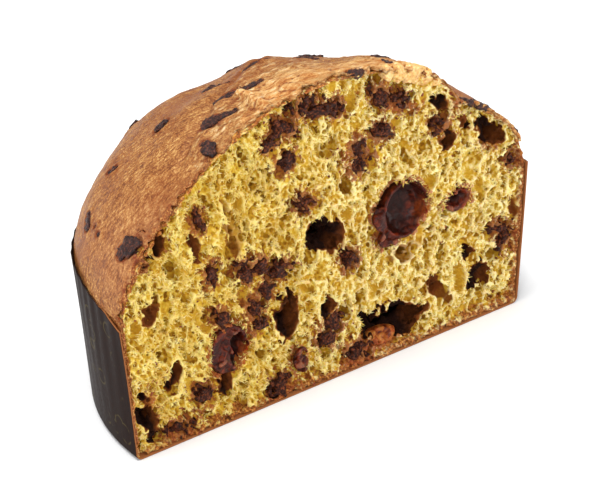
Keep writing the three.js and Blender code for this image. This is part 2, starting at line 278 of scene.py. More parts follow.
# Pale lips where the skin tore: places as x, y, half width and height
FLAPS = [
    ([(-24, 19.5), (-22.4, 16.4), (-24.6, 9.5), (-24, 6.5)], 2.0, 2.3),
    ([(-12, 9), (-8, 5), (-9, 2)], 1.6, 0.9),
    ([(10, 8), (13, 5), (20, 4)], 1.5, 0.8),
]

# Ridges of browned skin: x, y, half width and height
RIDGES = [
    (-19.2, 52, 3.6, 0.5),
    (-10, 43.3, 2.6, 0.5),
    (-4.8, 46, 3.0, 0.8),
    (4, 53, 4.2, 0.9),
    (7.2, 49.9, 2.4, 0.6),
    (60, 6, 3.4, 0.5),
    (68, 5, 3.0, 0.6),
]

# Candied cherries: lumps of flesh and the hollow that baking left, as centre and half sizes
CHERRIES = {
    "cherry_1": {
        "flesh": [
            ((36.5, 3.4, 58), (10.6, 9.6, 12)),
            ((26.4, 2.2, 57.5), (4.4, 3.6, 5)),
            ((28.4, 2, 49), (4.6, 3.2, 4)),
        ],
        "hollow": ((36.8, 0.6, 58), (9.7, 10.6, 11)),
    },
    "cherry_2": {
        "flesh": [((-45, 3.4, 28.8), (8.6, 7.4, 9.8))],
        "hollow": ((-41, 1, 27.4), (3.9, 7.4, 7.6)),
    },
    "cherry_3": {
        "flesh": [((26, 5.6, 6.6), (7.6, 4.4, 3.4))],
        "hollow": ((25, 1.2, 9.4), (4.6, 4, 2.4)),
        "baked": 0.75,
    },
    "cherry_4": {
        "flesh": [((61.4, 2.4, 53.4), (6, 5.4, 4.8))],
        "hollow": ((61.6, 0.4, 54), (4.6, 5.4, 3.3)),
    },
    "cherry_5": {
        "flesh": [((-12.8, 1.8, 12.6), (3.4, 2.8, 5.4))],
        "hollow": ((-11.6, -0.4, 13.6), (1.6, 2, 2.6)),
    },
}

# Numbers

def smooth(value, low, high):
    t = np.clip((value - low) / (high - low), 0, 1)
    return t * t * (3 - 2 * t)


def bell(distance, spread):
    return np.exp(-((distance / spread) ** 2))


def blended(table, cell, part):
    """Values of a table between its cells. part says how far past a cell's corner each place is."""
    total = 0
    for steps in np.ndindex(2, 2, 2):
        weight = [share if step else 1 - share for share, step in zip(part, steps)]
        corner = [(at + step) % count for at, step, count in zip(cell, steps, table.shape)]
        total = total + weight[0] * weight[1] * weight[2] * table[tuple(corner)]
    return total


LATTICE = (32, 32, 32)


def noise(seed, scale, x, y, z):
    """A smooth random field, about -1 to 1, with bumps that are scale apart."""
    table = np.random.default_rng(seed).uniform(-1, 1, LATTICE).astype(np.float32)
    cell, part = [], []
    for value in (x, y, z):
        value = np.asarray(value, np.float32) / scale
        whole = np.floor(value)
        share = value - whole
        cell.append(whole.astype(np.int32))
        part.append(share * share * (3 - 2 * share))
    return blended(table, cell, part)


def roughened(field, layers, x, y, z):
    """A field with layers of noise added, each given as strength, seed and scale."""
    for strength, seed, scale in layers:
        field = field + strength * noise(seed, scale, x, y, z)
    return field


def turned(x, z, at_x, at_z, tilt):
    """x and z as seen from a point, along and across a tilted axis."""
    angle = math.radians(tilt)
    dx, dz = x - at_x, z - at_z
    across = dx * math.cos(angle) + dz * math.sin(angle)
    along = -dx * math.sin(angle) + dz * math.cos(angle)
    return across, along


def distance(x, y, z, place):
    return np.sqrt((x - place[0]) ** 2 + (y - place[1]) ** 2 + (z - place[2]) ** 2)


def inside_ball(x, y, z, half):
    """Roughly how far inside an ellipsoid a point is, in mm. x, y and z count from its centre."""
    reach = np.sqrt((x / half[0]) ** 2 + (y / half[1]) ** 2 + (z / half[2]) ** 2)
    return (1 - reach) * min(half)


FAR_OUT = -9.0


def far_out(x, y, z):
    """A field over the points that lies outside everything."""
    return np.full(np.broadcast(x, y, z).shape, FAR_OUT, np.float32)


def inside_balls(x, y, z, balls):
    """How far inside the nearest of some ellipsoids each point is."""
    best = far_out(x, y, z)
    for centre, half in balls:
        best = np.maximum(best, inside_ball(x - centre[0], y - centre[1], z - centre[2], half))
    return best


# Meshes

def add_object(name, data):
    made = bpy.data.objects.new(name, data)
    bpy.context.scene.collection.objects.link(made)
    return made


def mesh_piece(name, points, faces, material, attributes):
    """A mesh object from points in the cake's own millimetres."""
    place = np.array([AXIS_X, CUT_Y, 0.0])
    points = (np.asarray(points, np.float64) + place) / METRE
    faces = [np.asarray(part, np.int32) for part in faces if len(part)]
    mesh = bpy.data.meshes.new(name)
    mesh.vertices.add(len(points))
    mesh.vertices.foreach_set("co", points.astype(np.float32).ravel())
    corners = np.concatenate([part.ravel() for part in faces])
    sizes = np.concatenate([np.full(len(part), part.shape[1], np.int32) for part in faces])
    starts = np.concatenate([[0], np.cumsum(sizes)[:-1]]).astype(np.int32)
    mesh.loops.add(len(corners))
    mesh.loops.foreach_set("vertex_index", corners)
    mesh.polygons.add(len(sizes))
    mesh.polygons.foreach_set("loop_start", starts)
    mesh.update(calc_edges=True)
    for key, values in attributes.items():
        layer = mesh.attributes.new(key, "FLOAT", "POINT")
        layer.data.foreach_set("value", np.asarray(values, np.float32))
    mesh.polygons.foreach_set("use_smooth", np.full(len(sizes), True))
    mesh.validate()
    if material:
        mesh.materials.append(material)
    return add_object(name, mesh)


def part_of(name, points, quads, material, values):
    """A piece made of some faces of a mesh, with the points that they use."""
    used, corners = np.unique(quads, return_inverse=True)
    kept = {key: value[used] for key, value in values.items()}
    return mesh_piece(name, points[used], [corners.reshape(-1, 4)], material, kept)


def in_strips(name, points, quads, material, values):
    """A large mesh as several pieces side by side, each with few enough triangles."""
    middle = points[quads].mean(1)[:, 0]
    count = math.ceil(2 * len(quads) / MOST_TRIANGLES)
    edges = np.quantile(middle, np.linspace(0, 1, count + 1))
    edges[-1] += 1
    pieces = []
    for i in range(count):
        chosen = (middle >= edges[i]) & (middle < edges[i + 1])
        pieces.append(part_of(f"{name}_{i + 1}", points, quads[chosen], material, values))
    return pieces


def gathered(name, lumps, material):
    """Many small meshes as one piece."""
    points, faces, count = [], [], 0
    for lump_points, lump_faces in lumps:
        points.append(lump_points)
        faces.append(lump_faces[1] + count)
        count += len(lump_points)
    return mesh_piece(name, np.concatenate(points), [np.concatenate(faces)], material, {})


def shell_piece(name, outer, inner, material, values, inner_values):
    """A closed shell from two grids of points that follow each other."""
    columns, rows = outer.shape[:2]
    index = np.arange(columns * rows).reshape(columns, rows)
    second = index + columns * rows

    def sheet(at):
        return np.stack([at[:-1, :-1], at[1:, :-1], at[1:, 1:], at[:-1, 1:]], -1).reshape(-1, 4)

    def strip(a, b):
        return np.stack([a[:-1], b[:-1], b[1:], a[1:]], -1)

    faces = [
        sheet(index),
        sheet(second)[:, ::-1],
        strip(index[:, 0], second[:, 0]),
        strip(second[:, -1], index[:, -1]),
        strip(second[0], index[0]),
        strip(index[-1], second[-1]),
    ]
    points = np.concatenate([outer.reshape(-1, 3), inner.reshape(-1, 3)])
    both = {key: np.concatenate([values[key].ravel(), inner_values[key].ravel()]) for key in values}
    return mesh_piece(name, points, [np.concatenate(faces)], material, both)


def surface_of(solid, low, voxel):
    """The closed surface round a field that is above 0 inside: points and faces."""
    reach = 3 * voxel
    grid = openvdb.FloatGrid(background=reach)
    grid.copyFromArray(np.clip(-solid, -reach, reach).astype(np.float32))
    grid.transform = openvdb.createLinearTransform(voxelSize=voxel)
    points, triangles, quads = grid.convertToPolygons(isovalue=0.0, adaptivity=0.0)
    return points + np.array(low), [triangles, quads]


def grid_round(low, high, voxel):
    axes = [np.arange(a, b + voxel, voxel, dtype=np.float32) for a, b in zip(low, high)]
    return np.meshgrid(*axes, indexing="ij", sparse=True)


def sample(values, low, voxel, points):
    """Values of a voxel array at points, blended between voxels."""
    place = (points - np.array(low)) / voxel
    cell = np.clip(np.floor(place).astype(int), 0, np.array(values.shape) - 2)
    return blended(values, cell.T, np.clip(place - cell, 0, 1).T)


def blurred(values, reach):
    """A box blur, reach voxels to each side."""
    for axis in range(3):
        width = [(0, 0)] * 3
        width[axis] = (reach + 1, reach)
        total = np.cumsum(np.pad(values, width, mode="edge"), axis=axis, dtype=np.float32)
        ahead = np.take(total, range(2 * reach + 1, total.shape[axis]), axis=axis)
        behind = np.take(total, range(total.shape[axis] - 2 * reach - 1), axis=axis)
        values = (ahead - behind) / (2 * reach + 1)
    return values


def held_from_behind(solid, layers):
    """The voxels of a solid that hang together with its back layers."""
    held = np.zeros_like(solid)
    held[:, -layers:, :] = solid[:, -layers:, :]
    count = 0
    while held.sum() > count:
        count = held.sum()
        for _ in range(8):
            grown = held.copy()
            for axis in range(3):
                ahead = [slice(None)] * 3
                behind = [slice(None)] * 3
                ahead[axis], behind[axis] = slice(1, None), slice(None, -1)
                grown[tuple(ahead)] |= held[tuple(behind)]
                grown[tuple(behind)] |= held[tuple(ahead)]
            held = grown & solid
    return held


# Materials

def colour(code):
    """A linear colour from a web colour code."""
    parts = [int(code[i : i + 2], 16) / 255 for i in (1, 3, 5)]
    return tuple(p / 12.92 if p <= 0.04045 else ((p + 0.055) / 1.055) ** 2.4 for p in parts) + (1,)


def fill(tree, node, inputs):
    """Links or sets inputs of a node. A web colour code sets a colour."""
    for key, value in inputs.items():
        if isinstance(value, bpy.types.NodeSocket):
            tree.links.new(value, node.inputs[key])
        else:
            node.inputs[key].default_value = colour(value) if isinstance(value, str) else value


def add_node(tree, kind, inputs, **settings):
    node = tree.nodes.new(kind)
    for key, value in settings.items():
        setattr(node, key, value)
    fill(tree, node, inputs)
    return node


class Finish:
    """A node material in the making, with short ways to add what the finishes here share."""

    def __init__(self, name, **surface):
        self.material = bpy.data.materials.new(name)
        self.material.use_nodes = True
        self.tree = self.material.node_tree
        self.shader = self.tree.nodes["Principled BSDF"]
        fill(self.tree, self.shader, {key.replace("_", " "): value for key, value in surface.items()})
        self.place = self.node("ShaderNodeTexCoord", {})["Object"]

    def node(self, kind, inputs, **settings):
        return add_node(self.tree, kind, inputs, **settings).outputs

    def attribute(self, name):
        return self.node("ShaderNodeAttribute", {}, attribute_name=name)["Fac"]

    def stretched(self, scale, turn=(0, 0, 0)):
        inputs = {"Vector": self.place, "Scale": scale, "Rotation": turn}
        return self.node("ShaderNodeMapping", inputs)["Vector"]

    def on_crust(self, across, up):
        """A place on the crust unrolled: round the cake and up the dome."""
        x = self.times(self.attribute("around"), across / METRE)
        y = self.times(self.attribute("upward"), up / METRE)
        return self.node("ShaderNodeCombineXYZ", {"X": x, "Y": y})["Vector"]

    def noise(self, size, detail=3, rough=0.55, place=None, twist=0):
        """Noise whose bumps are about size millimetres apart, from 0 to 1."""
        inputs = {"Vector": place or self.place, "Scale": METRE / size}
        inputs.update({"Detail": detail, "Roughness": rough, "Distortion": twist})
        return self.node("ShaderNodeTexNoise", inputs)["Fac"]

    def cells(self, size):
        return self.node("ShaderNodeTexVoronoi", {"Vector": self.place, "Scale": METRE / size})["Distance"]

    def plus(self, first, second):
        return self.node("ShaderNodeMath", {0: first, 1: second}, operation="ADD")[0]

    def times(self, first, second):
        return self.node("ShaderNodeMath", {0: first, 1: second}, operation="MULTIPLY")[0]

    def ramp(self, value, low, high, start=0.0, end=1.0):
        inputs = {"Value": value, "From Min": low, "From Max": high, "To Min": start, "To Max": end}
        return self.node("ShaderNodeMapRange", inputs, interpolation_type="SMOOTHSTEP")["Result"]

    def frayed(self, name, grain, reach, low=0.3):
        """An attribute with its edges broken up by a noise, by up to reach."""
        return self.plus(self.attribute(name), self.ramp(grain, low, 1 - low, -reach, reach))

    def shades(self, value, stops):
        node = add_node(self.tree, "ShaderNodeValToRGB", {"Fac": value})
        while len(node.color_ramp.elements) < len(stops):
            node.color_ramp.elements.new(0.5)
        for element, (at, code) in zip(node.color_ramp.elements, stops):
            element.position = at
            element.color = colour(code)
        return node.outputs["Color"]

    def mixed(self, share, first, second):
        return self.node("ShaderNodeMix", {"Factor": share, 6: first, 7: second}, data_type="RGBA")[2]

    def laid(self, base, tone, value, low, high, most=1.0):
        """A tone laid over the base where a value is high."""
        return self.mixed(self.ramp(value, low, high, 0, most), base, tone)

    def bump(self, height, depth, below=None):
        """Relief of depth millimetres, over the relief below it."""
        inputs = {"Strength": 1.0, "Distance": depth / METRE, "Height": height}
        if below is not None:
            inputs["Normal"] = below
        return self.node("ShaderNodeBump", inputs)["Normal"]

    def done(self, base, rough=None, normal=None):
        inputs = {"Base Color": base, "Roughness": rough, "Normal": normal}
        fill(self.tree, self.shader, {key: value for key, value in inputs.items() if value is not None})
        return self.material


# Painted shade: pale on open crests, darker ochre deeper in pores and recesses
PAINTED_PORE_SHADE = [(0.14, "#E8D280"), (0.28, "#DDBF54"), (0.5, "#CDA634"), (0.72, "#BE9026"), (0.95, "#9E6E1C")]
SWOLLEN = [(0.3, "#B9713A"), (0.5, "#E0B270"), (0.7, "#F2DCA6")]
TOASTED = [(0.34, "#4A2010"), (0.5, "#90491C"), (0.66, "#D09248")]
STAINED = [(0.3, "#5A2618"), (0.5, "#8A4422"), (0.7, "#B06C34")]
# Painted shade inside the crumb's large holes, from the rim to the bottom
SHADED = [(0.12, "#A86E22"), (0.42, "#6E3814"), (0.8, "#1E0D07")]
SHREDDED = [(0.35, "#CBA540"), (0.52, "#DFC262"), (0.66, "#F0E09C")]
SKIN = [(0.36, "#4E2913"), (0.45, "#7A4423"), (0.53, "#A46D39"), (0.64, "#D9B070")]
TORN_SKIN = [(0.3, "#8C4A21"), (0.43, "#B6753A"), (0.55, "#D4A669"), (0.7, "#ECDAB2")]
BROKEN_EDGE = [(0.32, "#5A210F"), (0.48, "#944A20"), (0.66, "#D8A05A")]
MELTED_CHOCOLATE = [(0.34, "#160806"), (0.5, "#32150D"), (0.64, "#7A3E22")]
BAKED_CHOCOLATE = [(0.34, "#120706"), (0.5, "#2A120F"), (0.64, "#6A3A28")]
STREWN_CHOCOLATE = [(0.3, "#6A2C1C"), (0.5, "#8A442A"), (0.7, "#A8623C")]
CHERRY_FLESH = [(0.3, "#200905"), (0.5, "#421409"), (0.7, "#782C13")]
CHERRY_SKIN = [(0.35, "#5A1E0C"), (0.5, "#A4501E"), (0.65, "#C8803A")]
PAPER_FIBRES = [(0.3, "#190F0C"), (0.55, "#241713"), (0.75, "#33231D")]
FLOOR_TONES = [(0.3, "#F6F6F6"), (0.7, "#FAFAFA")]


def crumb_finish():
    finish = Finish("crumb_finish", Roughness=0.7, Specular_IOR_Level=0.08, Subsurface_Weight=0.35,
                    Subsurface_Radius=(1.0, 0.62, 0.15), Subsurface_Scale=0.0012)
    fine = finish.noise(1.0, 4, 0.65)
    broad = finish.noise(9, 3, 0.55, finish.stretched((1, 1, 0.55)))
    # Painted shade: the colour darkens as the hollow attribute rises in pores and recesses
    depth = finish.frayed("hollow", fine, 0.14, 0.25)
    base = finish.laid(finish.shades(depth, PAINTED_PORE_SHADE), "#B98A24", broad, 0.42, 0.68, 0.6)
    # Painted highlight: a pale tone on open crests, strongest towards the right where the light falls
    crest = finish.times(finish.ramp(depth, 0.1, 0.5, 0.6, 0), finish.attribute("painted_light"))
    base = finish.mixed(crest, base, "#F5E6B0")
    base = finish.laid(base, finish.shades(fine, SWOLLEN), finish.frayed("puff", fine, 0.2), 0.3, 0.8, 0.85)
    base = finish.laid(base, "#9A4526", finish.frayed("stain", fine, 0.3), 0.3, 0.85, 0.85)
    toast = finish.frayed("toast", finish.noise(2.2, 4), 0.5, 0.25)
    base = finish.laid(base, finish.shades(fine, TOASTED), toast, 0.35, 1.0, 0.95)
    cocoa = finish.frayed("cocoa", finish.noise(2.4, 5, 0.7), 0.6, 0.25)
    base = finish.laid(base, finish.shades(fine, STAINED), cocoa, 0.3, 0.75, 0.9)
    # Painted shade in the large holes, carried by the deep attribute
    deep = finish.attribute("deep")
    base = finish.laid(base, finish.shades(deep, SHADED), deep, 0.05, 0.45)
    relief = finish.bump(finish.noise(0.6, 3, 0.7), 0.3)
    relief = finish.bump(finish.cells(1.1), 0.2, relief)
    return finish.done(base, finish.ramp(deep, 0.1, 0.5, 0.68, 1.0), relief)


def shred_finish():
    finish = Finish("shred_finish", Roughness=0.6, Specular_IOR_Level=0.35, Subsurface_Weight=0.4,
                    Subsurface_Radius=(1.0, 0.7, 0.25), Subsurface_Scale=0.0008)
    return finish.done(finish.shades(finish.noise(3, 2), SHREDDED))


def crust_finish():
    finish = Finish("crust_finish", Roughness=0.5, Specular_IOR_Level=0.16, Subsurface_Weight=0.08,
                    Subsurface_Radius=(1.0, 0.4, 0.2), Subsurface_Scale=0.0012)
    flecks = finish.noise(1.3, 4, 0.65, finish.on_crust(1, 0.4), 0.3)
    grain = finish.noise(0.7, 3, 0.6)
    blotch = finish.noise(6, 4, 0.6)
    broad = finish.noise(24, 3, 0.5)
    brown = finish.plus(finish.times(flecks, 0.42), finish.times(grain, 0.36))
    brown = finish.plus(brown, finish.times(blotch, 0.22))
    base = finish.laid(finish.shades(brown, SKIN), "#84431C", broad, 0.4, 0.7, 0.45)
    # Painted sheen: a pale pinkish tone low on the dome's far left, near the cut
    painted_sheen = finish.times(finish.attribute("painted_sheen"), finish.ramp(flecks, 0.3, 0.7, 0.08, 0.4))
    base = finish.mixed(painted_sheen, base, "#B07A58")
    streaks = finish.noise(1.5, 4, 0.6, finish.stretched((0.25, 1, 1), (0, 0, 0.45)), 0.5)
    torn = finish.ramp(finish.frayed("pale", streaks, 0.25), 0.15, 0.85)
    layers = finish.plus(finish.times(streaks, 0.7), finish.times(grain, 0.3))
    base = finish.mixed(torn, base, finish.shades(layers, TORN_SKIN))
    # Red-brown at the cut's edge and round the chocolate drops, plus painted shade in creases, the fold's
    # valley, round the pits and round raised flaps and ridges
    base = finish.laid(base, "#70290F", finish.frayed("browning_and_shade", grain, 0.3), 0.3, 0.95, 0.9)
    base = finish.laid(base, "#3A1C16", finish.frayed("cocoa", grain, 0.3), 0.45, 1.0, 0.85)
    # Painted shade: the pits through the crust are near black inside
    base = finish.laid(base, "#170A07", finish.attribute("painted_shade"), 0.3, 0.8)
    clods = finish.noise(1.8, 4, 0.65)
    broken = finish.shades(grain, BROKEN_EDGE)
    base = finish.laid(base, broken, finish.frayed("raw", clods, 0.45), 0.4, 0.95, 0.85)
    relief = finish.bump(grain, 0.12)
    relief = finish.bump(flecks, 0.3, relief)
    relief = finish.bump(finish.times(streaks, torn), 0.7, relief)
    relief = finish.bump(finish.times(clods, finish.attribute("raw")), 1.6, relief)
    return finish.done(base, finish.ramp(flecks, 0.3, 0.7, 0.42, 0.62), relief)


def chocolate_finish(name, stops, bloom_and_sheen, gloss):
    finish = Finish(name, Roughness=0.45, Specular_IOR_Level=gloss)
    grain = finish.noise(0.9, 4, 0.65)
    # A greyish film laid at random: partly the chocolate's bloom, partly a painted sheen
    base = finish.laid(finish.shades(grain, stops), bloom_and_sheen, finish.noise(3.4, 3, 0.6), 0.5, 0.72, 0.4)
    rough = finish.ramp(grain, 0.3, 0.7, 0.45 - 0.5 * gloss, 0.75 - 0.5 * gloss)
    return finish.done(base, rough, finish.bump(finish.noise(0.7, 3, 0.7), 0.5))


def cherry_finish():
    finish = Finish("cherry_finish", Roughness=0.38, Specular_IOR_Level=0.16, Subsurface_Weight=0.25,
                    Subsurface_Radius=(1.0, 0.12, 0.06), Subsurface_Scale=0.0035,
                    Coat_Weight=0.05, Coat_Roughness=0.2)
    flesh = finish.noise(2.6, 4, 0.6, twist=0.8)
    # Painted shade over the left and middle of each cherry's hollow
    base = finish.laid(finish.shades(flesh, CHERRY_FLESH), "#200A05", finish.attribute("shade"), 0, 1, 0.8)
    # Painted light on the right rim of the hollow
    lit = finish.times(finish.attribute("painted_rim_light"), finish.ramp(flesh, 0.3, 0.6, 0.3, 0.8))
    base = finish.mixed(lit, base, "#9A4A1C")
    base = finish.laid(base, "#A06448", finish.frayed("rim", flesh, 0.3), 0.5, 1.1, 0.5)
    base = finish.mixed(finish.attribute("baked"), base, finish.shades(flesh, CHERRY_SKIN))
    return finish.done(base, normal=finish.bump(flesh, 0.6))


def paper_finish():
    finish = Finish("paper_finish", Roughness=0.65, Specular_IOR_Level=0.02)
    ribs = finish.noise(1.6, 2, 0.5, finish.stretched((1, 1, 0.06)))
    fibres = finish.noise(0.8, 4, 0.7, finish.stretched((1, 1, 0.4)))
    rings = finish.cells(9.5)
    curl = finish.times(finish.ramp(rings, 0.26, 0.3), finish.ramp(rings, 0.33, 0.37, 1, 0))
    curl = finish.times(curl, finish.ramp(finish.noise(5, 2), 0.45, 0.6))
    base = finish.mixed(finish.times(curl, 0.3), finish.shades(fibres, PAPER_FIBRES), "#6E6238")
    base = finish.laid(base, "#9A6038", finish.frayed("edge", fibres, 0.15), 0.5, 0.95, 0.9)
    relief = finish.bump(fibres, 0.02, finish.bump(ribs, 0.05))
    return finish.done(base, finish.ramp(fibres, 0.3, 0.7, 0.36, 0.52), relief)


# The loaf's outer form

def dome_point(round_angle, rise):
    radius = (MOUTH_RADIUS - INSET) * np.cos(rise)
    power = 2 / (SHOULDER_AT_CUT + SHOULDER_AT_BACK * np.sin(round_angle) ** 2)
    height = PAPER_HEIGHT + (CAKE_HEIGHT - PAPER_HEIGHT) * np.sin(rise) ** power
    return radius * np.cos(round_angle), radius * np.sin(round_angle), height


def fold_place(x, y):
    """How far outside the fold a point lies, and how much of the fold is there."""
    run = FOLD_END - FOLD_START
    length = math.hypot(*run)
    along = run / length
    dx, dy = x - FOLD_START[0], y - FOLD_START[1]
    across = along[0] * dy - along[1] * dx
    far = along[0] * dx + along[1] * dy
    return across, smooth(far, -8, 6) * (1 - smooth(far, length - 8, length + 10))


def crust_relief(x, y, z):
    """How far the crust stands out from the ideal dome."""
    out = 0.35 * np.sin(x / 7 + 2 * np.sin(y / 11))
    out = out + 0.3 * np.sin(y / 6 - z / 9 + 1.3)
    for place, spread, height in SWELLS:
        out = out + height * bell(distance(x, y, z, place), spread)
    across, there = fold_place(x, y)
    out = out + FOLD_LIP[0] * there * bell(across + FOLD_LIP[1], FOLD_LIP[1])
    out = out - FOLD_VALLEY[0] * there * bell(across, FOLD_VALLEY[1])
    return out * smooth(z, PAPER_HEIGHT, PAPER_HEIGHT + 12)


def outward_at(round_angle, rise):
    return (
        np.cos(round_angle) * np.cos(rise),
        np.sin(round_angle) * np.cos(rise),
        np.sin(rise) + 0 * round_angle,
    )


def crust_at(x, y):
    """The point of the crust above or beside x, y, and which way is out there."""
    direction = math.atan2(y, x)
    rise = math.acos(min(1, math.hypot(x, y) / (MOUTH_RADIUS - INSET)))
    place, outward = np.array(dome_point(direction, rise)), np.array(outward_at(direction, rise))
    return place + crust_relief(*place) * outward, outward


def wall_radius(height):
    return BASE_RADIUS + (MOUTH_RADIUS - BASE_RADIUS) * (height / PAPER_HEIGHT)


def inside_loaf(x, y, z):
    """Roughly how far under the loaf's skin a point near the cut is, in mm."""
    radius = np.sqrt(x * x + y * y)
    rim = MOUTH_RADIUS - INSET
    tall = CAKE_HEIGHT - PAPER_HEIGHT
    share = np.clip((z - PAPER_HEIGHT) / tall, 0, None)
    level = (radius / rim) ** 2 + share**SHOULDER_AT_CUT
    slope_r = 2 * radius / rim**2
    slope_z = SHOULDER_AT_CUT * np.maximum(share, 0.02) ** (SHOULDER_AT_CUT - 1) / tall
    dome = (1 - level) / np.sqrt(slope_r**2 + slope_z**2)
    dome = dome + crust_relief(x, y, z)
    wall = wall_radius(z) - INSET - radius
    foot = np.minimum(wall, z - 0.5)
    return np.where(z > PAPER_HEIGHT, dome, foot)


# The crumb

CRUMB_LOW = (-93.5, -1.5, -0.5)
CRUMB_HIGH = (93.5, 13.0, 124.5)
SLAB_BACK = 12.0
BACK_LAYERS = 6
DROP_DEPTH = 3.6

# The dough rose in lines that fan out from a point below the cake
FAN_DEPTH = 110
FAN_RADIUS = 170

# Bubbles: seed, spacing, radii, share of the places that have one, and length over width
SMOOTH_BUBBLES = (44, 17.0, (1.8, 3.4), 0.6, (1.1, 2.4))
LARGE_BUBBLES = (41, 8.0, (1.5, 3.2), 0.55, (1.1, 2.2))
MIDDLE_BUBBLES = (42, 3.2, (0.9, 1.9), 0.55, (1.0, 2.3))
SMALL_BUBBLES = (43, 1.35, (0.5, 0.95), 0.95, (0.9, 2.2))

# Layers of roughness: strength, seed and scale
HOLE_LAYERS = [(2.0, 21, 4.2), (1.2, 22, 1.9), (0.6, 27, 1.0)]
DROP_ROOM_LAYERS = [(0.8, 23, 2.2), (0.5, 24, 1.1)]
PUFF_LAYERS = [(0.9, 25, 2.6), (0.45, 26, 1.2)]
CRUMB_LAYERS = [(0.35, 35, 1.1), (0.25, 36, 2.4)]

# Single noises: seed and scale
TEARS = (11, 12.0)
STRANDS = (12, 4.5)
TUFTS = (13, 2.3)
FOOT_WAVES = (82, 6.0)


def torn_front(x, z):
    """How far behind the knife's plane the torn crumb starts."""
    flat = 0 * x
    across = FAN_RADIUS * np.arctan2(x, z + FAN_DEPTH)
    along = np.sqrt(x * x + (z + FAN_DEPTH) ** 2)
    broad = noise(*TEARS, x, flat, z)
    strands = noise(*STRANDS, across, flat + 5, 0.4 * along)
    small = noise(*TUFTS, x, flat + 9, z)
    calm = smooth(inside_loaf(x, 0.5 + flat, np.maximum(z, 3.5)), 0.0, 2.6)
    front = 0.3 + calm * np.maximum(0, 1.7 + 2.0 * broad + 1.2 * strands + 0.4 * small)
    foot = 0.1 + np.maximum(0, 0.4 + 1.3 * small)
    return foot + (front - foot) * smooth(z, 0.8, 4.5)


def holes_inside(x, y, z):
    """For one large hole after the other: how far inside and across it each point is, and the hole."""
    ragged = roughened(0, HOLE_LAYERS, x, y, z)
    for hole in HOLES:
        at_x, at_z, wide, tall, deep, tilt, _ = hole
        across, along = turned(x, z, at_x, at_z, tilt)
        share = min(1, 0.22 * min(wide, tall))
        yield inside_ball(across, y, along, (wide, deep, tall)) + share * ragged, across, hole


def hole_depths(x, y, z):
    """How far inside one of the large holes each point is."""
    best = far_out(x, y, z)
    for inside, _, _ in holes_inside(x, y, z):
        best = np.maximum(best, inside)
    return best


def painted_hole_shade(x, y, z):
    """Painted shade inside the large holes: 0 outside them, up to 1 at the bottom of deep ones."""
    best = np.zeros_like(x)
    for inside, across, (_, _, wide, _, deep, _, painted_shade) in holes_inside(x, y, z):
        behind = np.maximum(y - 2, 0)
        share = smooth(inside + 0.3 * behind, -1.1, -0.2) * smooth(y, 0.5, 1.5 + 0.2 * deep)
        # Painted shadow: lighter on each hole's right wall, which faces the light
        shadow = 1 - 0.35 * smooth(across / wide, -0.1, 0.9)
        best = np.maximum(best, painted_shade * share * shadow)
    return best


def cherry_room(x, y, z):
    """How far inside a candied cherry each point is."""
    return inside_balls(x, y, z, [ball for made in CHERRIES.values() for ball in made["flesh"]])


def puff_room(x, y, z):
    """How far inside one of the smooth lumps each point is."""
    return roughened(inside_balls(x, y, z, PUFFS), PUFF_LAYERS, x, y, z)


def drop_room(x, y, z):
    """How far inside the hollow of a chocolate drop each point is."""
    best = far_out(x, y, z)
    for at_x, at_z, wide, tall, tilt in FACE_DROPS:
        across, along = turned(x, z, at_x, at_z, tilt)
        best = np.maximum(best, inside_ball(across, y - 1, along, (wide, DROP_DEPTH, tall)))
    return roughened(best, DROP_ROOM_LAYERS, x, y, z)


def drop_nearness(x, y, z):
    """1 at a chocolate drop of the cut, falling to 0 a few millimetres away."""
    best = np.zeros(np.broadcast(x, y, z).shape, np.float32)
    for at_x, at_z, wide, tall, tilt in FACE_DROPS:
        across, along = turned(x, z, at_x, at_z, tilt)
        reach = np.sqrt((across / (wide + 3)) ** 2 + (along / (tall + 3)) ** 2 + (y / 12) ** 2)
        best = np.maximum(best, 1.55 - reach)
    return np.clip(best, 0, 1)


def smear_strength(x, z):
    best = np.zeros_like(x)
    for at_x, at_z, wide, tall, tilt, strength in SMEARS:
        across, along = turned(x, z, at_x, at_z, tilt)
        reach = np.sqrt((across / wide) ** 2 + (along / tall) ** 2)
        best = np.maximum(best, 1.3 * strength * bell(reach, 1.0))
    return np.minimum(best, 1)


